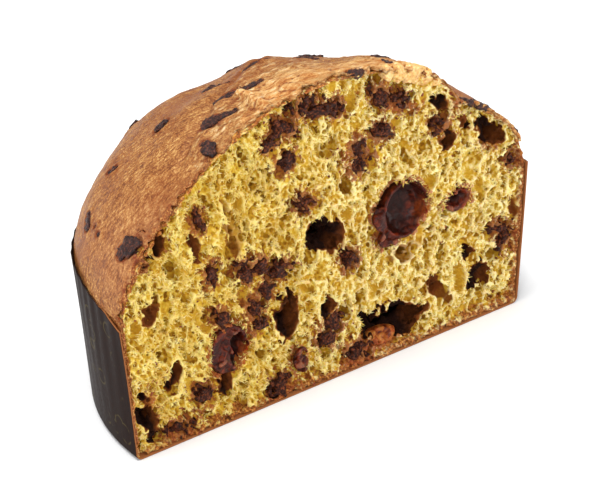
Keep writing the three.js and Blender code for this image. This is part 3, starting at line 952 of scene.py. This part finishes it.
def bubbles(solid, seed, spacing, radii, share, stretch):
    """How far inside a bubble each voxel is. The bubbles sit where the solid starts."""
    air = np.full(solid.shape, FAR_OUT, np.float32)
    surface = CRUMB_LOW[1] + CRUMB_VOXEL * np.argmax(solid > 0, axis=1)
    rng = np.random.default_rng(seed)
    wide = np.arange(CRUMB_LOW[0], CRUMB_HIGH[0], spacing)
    tall = np.arange(CRUMB_LOW[2], CRUMB_HIGH[2], spacing)
    x, z = [part.ravel() for part in np.meshgrid(wide, tall)]
    x = x + rng.uniform(0, spacing, x.size)
    z = z + rng.uniform(0, spacing, x.size)
    radius = rng.uniform(*radii, x.size)
    lean = np.arctan2(x, z + FAN_DEPTH) + rng.normal(0, 0.35, x.size)
    longer = rng.uniform(*stretch, x.size)
    column = np.clip(((x - CRUMB_LOW[0]) / CRUMB_VOXEL).astype(int), 0, surface.shape[0] - 1)
    row = np.clip(((z - CRUMB_LOW[2]) / CRUMB_VOXEL).astype(int), 0, surface.shape[1] - 1)
    y = surface[column, row] + rng.uniform(-0.3, 0.45, x.size) * radius
    kept = (rng.random(x.size) < share) & (inside_loaf(x, 0 * x + 0.5, z) > 0)
    for i in np.nonzero(kept)[0]:
        reach = radius[i] * longer[i] + CRUMB_VOXEL
        spans, axes = [], []
        for centre, low, count in zip((x[i], y[i], z[i]), CRUMB_LOW, air.shape):
            first = max(0, int((centre - reach - low) / CRUMB_VOXEL))
            last = min(count, int((centre + reach - low) / CRUMB_VOXEL) + 2)
            spans.append(slice(first, last))
            axes.append(np.arange(first, last) * CRUMB_VOXEL + low - centre)
        if min(len(axis) for axis in axes) < 2:
            continue
        dx, dy, dz = axes[0][:, None, None], axes[1][None, :, None], axes[2][None, None, :]
        along = (dx * math.sin(lean[i]) + dz * math.cos(lean[i])) / longer[i]
        across = dx * math.cos(lean[i]) - dz * math.sin(lean[i])
        part = air[tuple(spans)]
        np.maximum(part, radius[i] - np.sqrt(across * across + along * along + dy * dy), out=part)
    return air


def crumb_field():
    """The crumb behind the cut as a solid: above 0 inside."""
    x, y, z = grid_round(CRUMB_LOW, CRUMB_HIGH, CRUMB_VOXEL)
    holes = hole_depths(x, y, z)
    calm = smooth(inside_loaf(x, y, np.maximum(z, 1.9)), 0.5, 2.2)
    firm = 1.5 * (1 - calm)
    solid = y - torn_front(x, z) + 0 * holes
    holes = np.maximum(holes, bubbles(solid, *SMOOTH_BUBBLES) - firm)
    solid = np.minimum(solid, firm - bubbles(solid, *LARGE_BUBBLES))
    solid = np.minimum(solid, firm - bubbles(solid, *MIDDLE_BUBBLES))
    solid = np.minimum(solid, -holes)
    small = bubbles(solid, *SMALL_BUBBLES)
    # The walls of the large holes stay smooth
    smooth_wall = 1 - smooth(-holes, 0.3, 1.6)
    solid = np.minimum(solid, 0.9 * smooth_wall + 0.6 * (1 - calm) - small)
    solid = solid + roughened(0, CRUMB_LAYERS, x, y, z) * (1 - 0.8 * smooth_wall)
    # The crumb stops inside the crust, and stands right on the paper's bottom
    skin = inside_loaf(x, y, z)
    solid = np.minimum(solid, skin - 0.8 * smooth(z, 1.5, 6))
    solid = np.maximum(solid, np.minimum(np.minimum(puff_room(x, y, z), y - 0.25), skin + 2.0))
    solid = np.minimum(solid, -cherry_room(x, y, z) - 0.1)
    solid = np.minimum(solid, -drop_room(x, y, z))
    solid = np.minimum(solid, SLAB_BACK - y)
    held = held_from_behind(solid > 0, BACK_LAYERS)
    return np.where(held | (solid <= 0), solid, -CRUMB_VOXEL)


def build_crumb():
    """The crumb's points and faces, and the values that its colours need."""
    solid = crumb_field()
    points, faces = surface_of(solid, CRUMB_LOW, CRUMB_VOXEL)
    full = (solid > 0).astype(np.float32)
    near, wide = [
        sample(blurred(blurred(full, reach), reach), CRUMB_LOW, CRUMB_VOXEL, points) for reach in (1, 4)
    ]
    x, y, z = points.T.astype(np.float32)
    smeared = smear_strength(x, z)
    puffed = smooth(puff_room(x, y, z), -0.9, 0.2)
    browned = 1.05 * (1 - smooth(inside_loaf(x, y, z), 0.6, 3.6))
    wavy = z + 2.4 * noise(*FOOT_WAVES, x, 0 * x, z)
    low = 1 - smooth(wavy, 0.5, 7.5 - 2.5 * smooth(x, 30, 62))
    side = wall_radius(z) - np.sqrt(x * x + y * y)
    low = np.maximum(low, 0.9 * (1 - smooth(side, 2.2, 6)) * (1 - smooth(z, 22, 44)))
    values = {
        # hollow: how closely crumb surrounds each point, painted as shade in the pores
        "hollow": np.clip(1.5 * (near - 0.45) + 1.2 * (wide - 0.5) + 0.4, 0, 1),
        "toast": np.maximum(browned, low) * (1 - 0.8 * puffed),
        "stain": np.maximum(smooth(cherry_room(x, y, z), -3.2, -0.4), 0.75 * smeared),
        "cocoa": np.maximum(drop_nearness(x, y, z), smeared),
        # deep is the painted shade of the large holes; it also marks open holes for the shreds and specks
        "deep": painted_hole_shade(x, y, z),
        "puff": puffed,
        # Painted light: the crest highlight grows from left to right
        "painted_light": smooth(x, -50, 30),
    }
    return points, faces[1], values


# What is scattered over the crumb

SCATTER_INPUTS = {"Density": 0.0, "Seed": 0, "Width": 0.0, "Thickness": 0.0, "Length": 0.0, "Sink": 0.0}
SHAPES = {
    "GeometryNodeMeshCone": {"Vertices": 4, "Radius Bottom": 0.5, "Depth": 1.0},
    "GeometryNodeMeshIcoSphere": {"Radius": 0.5, "Subdivisions": 2},
}
LEAST_SCALE, MOST_SCALE = 0.55, 1.3
MOST_LEAN = (0.9, 0.9, 3.1)

# Values for the inputs, in their order: how many for each square metre, the seed, and sizes in metres
SHREDS = (1.15e6, 5, 0.0005, 0.00032, 0.0015, -0.0002)
SPECKS = (2.0e4, 9, 0.0013, 0.0006, 0.0009, -0.0001)

# Where shreds and specks lie: depth behind the knife's plane, and the highest values of the crumb there
SHRED_DEPTH = 4.5
SHRED_HOLLOW = 0.42
SHRED_MARKS = 0.45
SPECK_DEPTH = 5
SPECK_PATCHES = (81, 9.0)
PATCH_LEVEL = 0.4
OPEN_HOLE = 0.05


def scatter_tree(name, shape_kind, material):
    """Geometry Nodes that strew one small shape over a surface."""
    tree = bpy.data.node_groups.new(name, "GeometryNodeTree")
    tree.interface.new_socket("Geometry", in_out="INPUT", socket_type="NodeSocketGeometry")
    for key, value in SCATTER_INPUTS.items():
        kind = "NodeSocketInt" if isinstance(value, int) else "NodeSocketFloat"
        tree.interface.new_socket(key, in_out="INPUT", socket_type=kind)
    tree.interface.new_socket("Geometry", in_out="OUTPUT", socket_type="NodeSocketGeometry")

    def add(kind, inputs, **settings):
        return add_node(tree, kind, inputs, **settings).outputs

    given = add("NodeGroupInput", {})
    ground = {"Mesh": given["Geometry"], "Density": given["Density"], "Seed": given["Seed"]}
    strewn = add("GeometryNodeDistributePointsOnFaces", ground)
    shape = add(shape_kind, SHAPES[shape_kind])
    size = add("ShaderNodeCombineXYZ", {"X": given["Width"], "Y": given["Thickness"], "Z": given["Length"]})
    vary = add("FunctionNodeRandomValue", {2: LEAST_SCALE, 3: MOST_SCALE}, data_type="FLOAT")
    scale = add("ShaderNodeVectorMath", {0: size["Vector"], "Scale": vary[1]}, operation="SCALE")
    placing = {"Points": strewn["Points"], "Instance": shape["Mesh"], "Rotation": strewn["Rotation"]}
    placed = add("GeometryNodeInstanceOnPoints", {**placing, "Scale": scale["Vector"]})
    leaning = {0: tuple(-turn for turn in MOST_LEAN), 1: MOST_LEAN}
    lean = add("FunctionNodeRandomValue", leaning, data_type="FLOAT_VECTOR")
    spun = add("GeometryNodeRotateInstances", {"Instances": placed["Instances"], "Rotation": lean[0]})
    down = add("ShaderNodeCombineXYZ", {"Z": given["Sink"]})
    sinking = {"Instances": spun["Instances"], "Translation": down["Vector"]}
    sunk = add("GeometryNodeTranslateInstances", sinking)
    real = add("GeometryNodeRealizeInstances", {"Geometry": sunk["Instances"]})
    coat = add("GeometryNodeSetMaterial", {"Geometry": real["Geometry"], "Material": material})
    add("NodeGroupOutput", {"Geometry": coat["Geometry"]})
    return tree


def scattered(name, host, shape_kind, material, sizes):
    """A piece made of one small shape strewn over a host mesh, which is then removed."""
    sizes = dict(zip(SCATTER_INPUTS, sizes))
    modifier = host.modifiers.new(name, "NODES")
    modifier.node_group = scatter_tree(name, shape_kind, material)
    for item in modifier.node_group.interface.items_tree:
        if item.in_out == "INPUT" and item.name in sizes:
            modifier[item.identifier] = sizes[item.name]
    bpy.context.view_layer.update()
    made = host.evaluated_get(bpy.context.evaluated_depsgraph_get())
    mesh = bpy.data.meshes.new_from_object(made)
    host.modifiers.remove(modifier)
    piece = add_object(name, mesh)
    bpy.data.objects.remove(host)
    return piece


def build_shreds(points, quads, values, material):
    """Pale torn shreds that stand out from the crests of the crumb."""
    crest = values["hollow"][quads].mean(1) < SHRED_HOLLOW
    marked = np.maximum(values["cocoa"], np.maximum(values["puff"], values["toast"]))
    clean = marked[quads].mean(1) < SHRED_MARKS
    near = points[quads].mean(1)[:, 1] < SHRED_DEPTH
    shut = values["deep"][quads].max(1) < OPEN_HOLE
    host = part_of("host", points, quads[crest & clean & near & shut], None, {})
    return scattered("crumb_shreds", host, "GeometryNodeMeshCone", material, SHREDS)


def build_specks(points, quads, values, material):
    """Small bits of chocolate on the crumb."""
    middle = points[quads].mean(1)
    patch = noise(*SPECK_PATCHES, middle[:, 0], 0 * middle[:, 0], middle[:, 2]) > PATCH_LEVEL
    close = values["cocoa"][quads].mean(1) > 0.05
    near = middle[:, 1] < SPECK_DEPTH
    shut = values["deep"][quads].max(1) < OPEN_HOLE
    host = part_of("host", points, quads[near & shut & (patch | close)], None, {})
    return scattered("chocolate_specks", host, "GeometryNodeMeshIcoSphere", material, SPECKS)


# The crust

# Layers of roughness: strength, seed and scale
SKIN_LAYERS = [(0.14, 51, 3.0), (0.3, 52, 9.0)]
PATCH_LAYERS = [(1.0, 58, 1.3), (0.8, 66, 4.0)]
EDGE_LAYERS = [(3.0, 54, 5.0), (2.0, 55, 1.7)]

# Single noises: seed and scale
BURST_EDGE = (60, 6.0)
BURST_SHEETS = (53, 1.5)
CUT_CLODS = (56, 2.4)
CUT_CRUMBS = (57, 1.2)
PIT_EDGE = (59, 1.6)
FLAP_EDGE = (68, 2.2)
RIDGE_EDGE = (67, 1.8)

# Where the dough burst through, where the crust is pale at the cut, and where a pinkish sheen is painted:
# from and to
BURST_ACROSS = (-2, 7)
BURST_Z = (99, 112)
BURST_END_X = (44, 50)
BRIGHT_X = (-42, -12)
BRIGHT_Y = (6, 34)
PALE_X = (44, 54)
SHEEN_X = (55, 85)
SHEEN_LOW_Z = (60, 72)
SHEEN_HIGH_Z = (88, 106)
SHEEN_DEPTH = 34
CUT_REACH = 5
RAW_REACH = 4.5


def edge_offset(x, z):
    """How far behind the knife's plane the crust's edge lies."""
    return 0.4 + np.maximum(0, roughened(1.2, EDGE_LAYERS, x, 0 * x, z))


def along_line(x, y, z, start, run):
    """How far along a line the nearest point to each point lies, from 0 to 1."""
    share = (x - start[0]) * run[0] + (y - start[1]) * run[1] + (z - start[2]) * run[2]
    return np.clip(share / run.dot(run), 0, 1)


def path_distance(x, y, z, places):
    """The distance of each point from a line drawn over the crust."""
    best = np.full(x.shape, 99.0)
    corners = [crust_at(*place)[0] for place in places]
    for start, end in zip(corners[:-1], corners[1:]):
        run = end - start
        share = along_line(x, y, z, start, run)
        near = [value - a - share * r for value, a, r in zip((x, y, z), start, run)]
        best = np.minimum(best, np.sqrt(near[0] ** 2 + near[1] ** 2 + near[2] ** 2))
    return best


def crust_directions(columns):
    """Directions round the cake, closer together near the cut."""
    share = np.linspace(-1, 1, columns)
    return math.pi / 2 * (1 + 1.35 * share - 0.35 * share**3)


def build_crust(material):
    columns, rows = CRUST_GRID
    turn, lift = np.meshgrid(crust_directions(columns), np.linspace(0, math.pi / 2, rows), indexing="ij")
    x, y, z = dome_point(turn, lift)
    fine = roughened(0, SKIN_LAYERS, x, y, z)
    across, there = fold_place(x, y)
    burst = smooth(-across + 2.5 * noise(*BURST_EDGE, x, y, z), *BURST_ACROSS)
    burst = burst * smooth(z, *BURST_Z) * (1 - smooth(x, *BURST_END_X))
    near_cut = bell(y, CUT_REACH)
    right = smooth(x, *PALE_X)
    pale = burst * (0.25 + 0.75 * (1 - smooth(y, *BRIGHT_Y))) * (0.4 + 0.6 * smooth(x, *BRIGHT_X))
    pale = np.maximum(pale, 0.8 * near_cut * right)
    sheets = noise(*BURST_SHEETS, 0.3 * x, y + 0.4 * x, z)
    fine = fine + 0.5 * sheets * burst + (0.5 * burst + 0.45) * near_cut * noise(*CUT_CLODS, x, y, z)
    fine = fine + near_cut * 0.55 * noise(*CUT_CRUMBS, x, y, z)
    patches = smooth(roughened(0, PATCH_LAYERS, x, y, z), -0.4, 0.8)
    browned = 1.3 * near_cut * patches * (1 - 0.5 * burst) * (1 - 0.6 * right)
    # Real browning at the cut, and painted shade along the fold's valley
    browning_and_shade = 0.5 * there * bell(across, 0.9) + browned
    cocoa = np.zeros_like(x)
    for start, end, wide in CRUST_DROPS:
        away = path_distance(x, y, z, [start, end])
        fine = fine + 0.45 * bell(away - wide - 0.9, 0.9) - 0.6 * bell(away, wide)
        browning_and_shade = np.maximum(browning_and_shade, 0.85 * bell(away - wide, 1.0))
        cocoa = np.maximum(cocoa, bell(away, wide + 0.7))
    for places, wide, deep in CREASES:
        away = path_distance(x, y, z, places)
        fine = fine - deep * bell(away, wide) + 0.4 * deep * bell(away - 2 * wide, wide)
        # Painted shade along each crease
        browning_and_shade = np.maximum(browning_and_shade, bell(away, 0.8 * wide))
    # Painted shade inside the pits
    painted_shade = np.zeros_like(x)
    for at_x, at_y, wide, deep in PITS:
        away = distance(x, y, z, crust_at(at_x, at_y)[0]) + 0.6 * noise(*PIT_EDGE, x, y, z)
        inside = 1 - smooth(away, 0.75 * wide, 1.2 * wide)
        fine = fine - deep * inside
        painted_shade = np.maximum(painted_shade, inside)
        # Painted shade round each pit's rim
        browning_and_shade = np.maximum(browning_and_shade, bell(away - 1.3 * wide, 0.8))
    for at_x, at_y, wide, high in LUMPS:
        away = distance(x, y, z, crust_at(at_x, at_y)[0])
        fine = fine + high * bell(away, wide)
        pale = np.maximum(pale, 0.9 * bell(away, wide))
    for places, wide, high in FLAPS:
        away = path_distance(x, y, z, places) + 0.3 * wide * noise(*FLAP_EDGE, x, y, z)
        fine = fine + high * bell(away, wide)
        pale = np.maximum(pale, 1.1 * bell(away, wide))
        # Painted shade round the flap's raised lip
        browning_and_shade = np.maximum(browning_and_shade, 0.75 * bell(away - 1.7 * wide, 0.7))
    for at_x, at_y, wide, high in RIDGES:
        away = distance(x, y, z, crust_at(at_x, at_y)[0]) + 0.7 * noise(*RIDGE_EDGE, x, y, z)
        fine = fine + high * bell(away, wide)
        # Painted shade round the ridge
        browning_and_shade = np.maximum(browning_and_shade, 0.6 * bell(away - 0.9 * wide, 0.9))
    ways = outward_at(turn, lift)
    out = crust_relief(x, y, z) + fine
    outer = [value + out * way for value, way in zip((x, y, z), ways)]
    outer[1] = np.maximum(outer[1], edge_offset(outer[0], outer[2]))
    inner = [value - CRUST_THICKNESS * way for value, way in zip(outer, ways)]
    inner[1] = np.maximum(inner[1], edge_offset(inner[0], inner[2]) + 0.2)
    # Where the painted sheen lies: low on the dome's far left, near the cut
    sheen_band = smooth(z, *SHEEN_LOW_Z) * (1 - smooth(z, *SHEEN_HIGH_Z))
    values = {
        "pale": pale,
        "browning_and_shade": browning_and_shade,
        "cocoa": cocoa,
        "painted_shade": painted_shade,
        "raw": (1 - 0.6 * burst) * (1 - 0.5 * right) * bell(y, RAW_REACH),
        "painted_sheen": smooth(-x, *SHEEN_X) * sheen_band * bell(y, SHEEN_DEPTH),
        "around": turn * MOUTH_RADIUS,
        "upward": lift * (CAKE_HEIGHT - PAPER_HEIGHT) * 1.3,
    }
    return shell_piece("crust", np.stack(outer, -1), np.stack(inner, -1), material, values, values)


def build_wall(material):
    """The crust behind the paper, which shows only as its edge on the cut."""
    columns, rows = WALL_GRID
    heights = np.linspace(0.8, PAPER_HEIGHT, rows)
    turn, height = np.meshgrid(np.linspace(0, math.pi, columns), heights, indexing="ij")
    shells = []
    for depth in (0.0, CRUST_THICKNESS):
        radius = wall_radius(height) - INSET - depth
        x, y = radius * np.cos(turn), radius * np.sin(turn)
        shells.append(np.stack([x, np.maximum(y, 0.35 + 0.3 * edge_offset(x, height)), height], -1))
    values = {"around": turn * MOUTH_RADIUS, "upward": height - PAPER_HEIGHT, "raw": np.ones_like(turn)}
    return shell_piece("side_crust", *shells, material, values, values)


# Chocolate drops

FACE_DROP_LAYERS = [(2.3, 61, 2.1), (1.5, 62, 1.1)]
CRUST_DROP_LAYERS = [(0.9, 64, 1.8), (0.55, 65, 0.9)]


def build_face_drops(material):
    lumps = []
    for at_x, at_z, wide, tall, tilt in FACE_DROPS:
        reach = 1.5 * max(wide, tall) + 2
        low = (at_x - reach, -1.5, at_z - reach)
        high = (at_x + reach, 7.5, at_z + reach)
        x, y, z = grid_round(low, high, FACE_DROP_VOXEL)
        across, along = turned(x, z, at_x, at_z, tilt)
        inside = inside_ball(across, y - 4.0, along, (0.95 * wide, 3.2, 0.95 * tall))
        inside = roughened(inside, FACE_DROP_LAYERS, x, y, z)
        inside = np.minimum(inside, inside_loaf(x, y, z) - 0.3)
        inside = np.minimum(inside, y - torn_front(x, z) + 1.0)
        lumps.append(surface_of(inside, low, FACE_DROP_VOXEL))
    return gathered("face_drops", lumps, material)


def build_crust_drops(material):
    lumps = []
    for start, end, wide in CRUST_DROPS:
        (first, first_outward), (last, last_outward) = crust_at(*start), crust_at(*end)
        outward = (first_outward + last_outward) / 2
        low = np.minimum(first, last) - wide - 1.5
        high = np.maximum(first, last) + wide + 1.5
        x, y, z = np.broadcast_arrays(*grid_round(low, high, CRUST_DROP_VOXEL))
        away = path_distance(x, y, z, [start, end])
        share = along_line(x, y, z, first, last - first)
        slim = 1.2 * wide * (1 - 0.35 * (2 * share - 1) ** 2)
        near = [a + share * r for a, r in zip(first, last - first)]
        proud = (x - near[0]) * outward[0] + (y - near[1]) * outward[1] + (z - near[2]) * outward[2]
        rough = roughened(0, CRUST_DROP_LAYERS, x, y, z)
        inside = np.minimum(slim - away + 0.5 * slim * rough, 0.3 * slim + 0.15 + 0.5 * rough - proud)
        inside = np.minimum(inside, y - 0.3)
        lumps.append(surface_of(inside, low, CRUST_DROP_VOXEL))
    return gathered("crust_drops", lumps, material)


# Candied cherries

WRINKLE_LAYERS = [(0.5, 71, 3.4), (0.25, 72, 1.5)]
TORN_LAYERS = [(2.0, 73, 3.6), (1.2, 74, 1.7)]


def build_cherry(name, material):
    made = CHERRIES[name]
    low = [min(c[i] - h[i] for c, h in made["flesh"]) - 2 for i in range(3)]
    high = [max(c[i] + h[i] for c, h in made["flesh"]) + 2 for i in range(3)]
    x, y, z = grid_round(low, high, CHERRY_VOXEL)
    wrinkle = roughened(0, WRINKLE_LAYERS, x, y, z)
    (hx, hy, hz), half = made["hollow"]
    hollow = inside_ball(x - hx, y - hy, z - hz, half) + wrinkle
    solid = np.minimum(inside_balls(x, y, z, made["flesh"]) + 0.5 * wrinkle, -hollow)
    solid = np.minimum(solid, y - 2.0 - roughened(0, TORN_LAYERS, x, y, z))
    points, faces = surface_of(solid, low, CHERRY_VOXEL)
    px, py, pz = points.T.astype(np.float32)
    # Which side of the hollow faces the light: painted light on the right rim, painted shade on the left
    # and middle
    side = (px - hx) / half[0] - 0.4 * (pz - hz) / half[2]
    values = {
        "rim": 1 - smooth(py, 0.4, 1.8),
        "baked": np.full(px.shape, made.get("baked", 0)),
        "painted_rim_light": smooth(side, 0.75, 1.2) * smooth(py, 0.5, 3),
        "shade": (1 - smooth(side, 0.3, 1.0)) * smooth(py, 2, 5),
    }
    return mesh_piece("candied_" + name, points, faces, material, values)


# Baking paper

FOOT_ROWS = 6
BOTTOM_RINGS = (0.0, 0.5, 0.9, 0.97)
RIBS = 74
RIB_DEPTH = 0.14
WAVE_DEPTH = 0.25


def rim_height(round_angle):
    sunk = 3 * bell(math.pi - round_angle, 0.06)
    raised = 2 * bell(math.pi - round_angle - 0.42, 0.2)
    wave = 0.6 * np.sin(3 * round_angle) + 0.4 * np.sin(8 * round_angle)
    return PAPER_HEIGHT + wave + raised - sunk


def paper_sheet(round_angle, inset):
    """One side of the paper as a grid of points: its bottom, its rounded foot and its wall."""
    columns, rows = PAPER_GRID
    foot = PAPER_FOOT - inset
    top = rim_height(round_angle)
    spread = bell(math.pi - round_angle, 0.1)
    rings = [(share * (BASE_RADIUS - PAPER_FOOT), inset) for share in BOTTOM_RINGS]
    for i in range(FOOT_ROWS):
        bend = (i / FOOT_ROWS) * math.pi / 2
        radius = BASE_RADIUS - PAPER_FOOT + foot * math.sin(bend)
        rings.append((radius, PAPER_FOOT - foot * math.cos(bend)))
    for i in range(rows + 1):
        share = i / rows
        height = PAPER_FOOT + (top - PAPER_FOOT) * share
        ripple = RIB_DEPTH * np.sin(round_angle * RIBS + 1.5 * np.sin(round_angle * 9)) * share
        ripple = ripple + WAVE_DEPTH * np.sin(round_angle * 11 + height / 17) * share
        radius = wall_radius(height) + 0.8 * share**2 * spread - inset + ripple
        rings.append((radius - 0.2, height))
    radius = np.stack([r + np.zeros(columns) for r, _ in rings], -1)
    height = np.stack([h + np.zeros(columns) for _, h in rings], -1)
    turn = round_angle[:, None]
    return np.stack([radius * np.cos(turn), radius * np.sin(turn), height], -1)


def build_paper(material):
    round_angle = np.linspace(0, math.pi, PAPER_GRID[0])
    outer, inner = [paper_sheet(round_angle, inset) for inset in (0.0, PAPER_SHEET)]
    edge = np.zeros(outer.shape[:2])
    edge[:, -1] = 0.35 + 0.65 * bell(math.pi - round_angle, 0.22)
    edge[[0, -1]] = 1
    # The paper's inner side takes the edge's light brown within about 2 to 6 mm of the cut
    browned = np.maximum(edge, 1 - smooth(inner[:, :, 1], 2, 6))
    return shell_piece("baking_paper", outer, inner, material, {"edge": edge}, {"edge": browned})


# The stage: camera, floor and light

AZIMUTH = math.radians(-37.05)
ELEVATION = math.radians(29.89)
ROLL = math.radians(-1.15)
DISTANCE = 1700
TARGET = np.array([12.65, 35.0, 39.11])
FOCAL_PIXELS = 4572.85
PHOTO_WIDTH = 600
SENSOR_WIDTH = 36
FLOOR_SIZE = 6
FLOOR_DROP = 0.0002
WORLD_STRENGTH = 0.42
LIT_PLACE = Vector((0, 0, 0.06))

# Lights: place in metres, size and power
LIGHTS = {
    "top": ((-0.25, 0.1, 1.3), 0.9, 16),
    "key": ((-0.7, -0.8, 0.75), 0.4, 6),
    "left": ((-1.1, 0.3, 0.3), 0.5, 2),
    "right": ((0.7, -0.9, 0.6), 0.5, 6.6),
}


def build_camera():
    flat = math.cos(ELEVATION)
    back = Vector((math.sin(AZIMUTH) * flat, -math.cos(AZIMUTH) * flat, math.sin(ELEVATION)))
    right = Vector((math.cos(AZIMUTH), math.sin(AZIMUTH), 0))
    up = back.cross(right)
    rolled_right = math.cos(ROLL) * right + math.sin(ROLL) * up
    rolled_up = -math.sin(ROLL) * right + math.cos(ROLL) * up
    data = bpy.data.cameras.new("camera")
    data.sensor_width = SENSOR_WIDTH
    data.lens = FOCAL_PIXELS * SENSOR_WIDTH / PHOTO_WIDTH
    data.clip_end = 20
    camera = add_object("camera", data)
    matrix = np.eye(4)
    matrix[:3, :3] = np.array([rolled_right, rolled_up, back]).T
    matrix[:3, 3] = (TARGET + np.array([AXIS_X, CUT_Y, 0]) + np.array(back) * DISTANCE) / METRE
    camera.matrix_world = Matrix(matrix.tolist())
    bpy.context.scene.camera = camera


def build_floor():
    bpy.ops.mesh.primitive_plane_add(size=FLOOR_SIZE, location=(0, 0, -FLOOR_DROP))
    floor = bpy.context.object
    floor.name = "floor"
    finish = Finish("floor_finish", Roughness=0.9, Specular_IOR_Level=0.1)
    floor.data.materials.append(finish.done(finish.shades(finish.noise(300, 2), FLOOR_TONES)))
    floor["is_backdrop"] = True


def build_light():
    world = bpy.data.worlds.new("world")
    bpy.context.scene.world = world
    world.use_nodes = True
    background = world.node_tree.nodes["Background"].inputs
    background["Color"].default_value = (1, 1, 1, 1)
    background["Strength"].default_value = WORLD_STRENGTH
    for name, (place, size, power) in LIGHTS.items():
        data = bpy.data.lights.new(name, "AREA")
        data.shape = "DISK"
        data.size = size
        data.energy = power
        light = add_object(name, data)
        light.location = place
        light.rotation_euler = (Vector(place) - LIT_PLACE).to_track_quat("Z", "Y").to_euler()
    bpy.context.scene.view_settings.view_transform = "Standard"


def finish_piece(piece, slot, *nodes):
    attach(piece, "root")
    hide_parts(*nodes)


build_camera()
build_floor()
build_light()
# The third value is each chocolate's bloom and painted sheen
chocolate = chocolate_finish("chocolate_finish", MELTED_CHOCOLATE, "#4A2A20", 0.12)
glossy = chocolate_finish("glossy_chocolate", BAKED_CHOCOLATE, "#44282A", 0.28)
dusty = chocolate_finish("speck_finish", STREWN_CHOCOLATE, "#6A3A40", 0.2)
points, quads, values = build_crumb()
for strip in in_strips("crumb", points, quads, crumb_finish(), values):
    finish_piece(strip, "crumb", "bread")
finish_piece(build_shreds(points, quads, values, shred_finish()), "crumb", "bread")
finish_piece(build_specks(points, quads, values, dusty), "chocolate", "bread")
crust_skin = crust_finish()
finish_piece(build_crust(crust_skin), "crust", "bread")
finish_piece(build_wall(crust_skin), "crust", "bread")
finish_piece(build_face_drops(chocolate), "chocolate", "bread")
finish_piece(build_crust_drops(glossy), "chocolate", "bread")
cherry_skin = cherry_finish()
for cherry_name in CHERRIES:
    finish_piece(build_cherry(cherry_name, cherry_skin), "candied_cherry", cherry_name)
finish_piece(build_paper(paper_finish()), "baking_paper", "paper")


def corners(box):
    return [[round(value, 5) for value in corner] for corner in box]


{"cad": corners(cad_box), "visual": corners(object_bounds())}
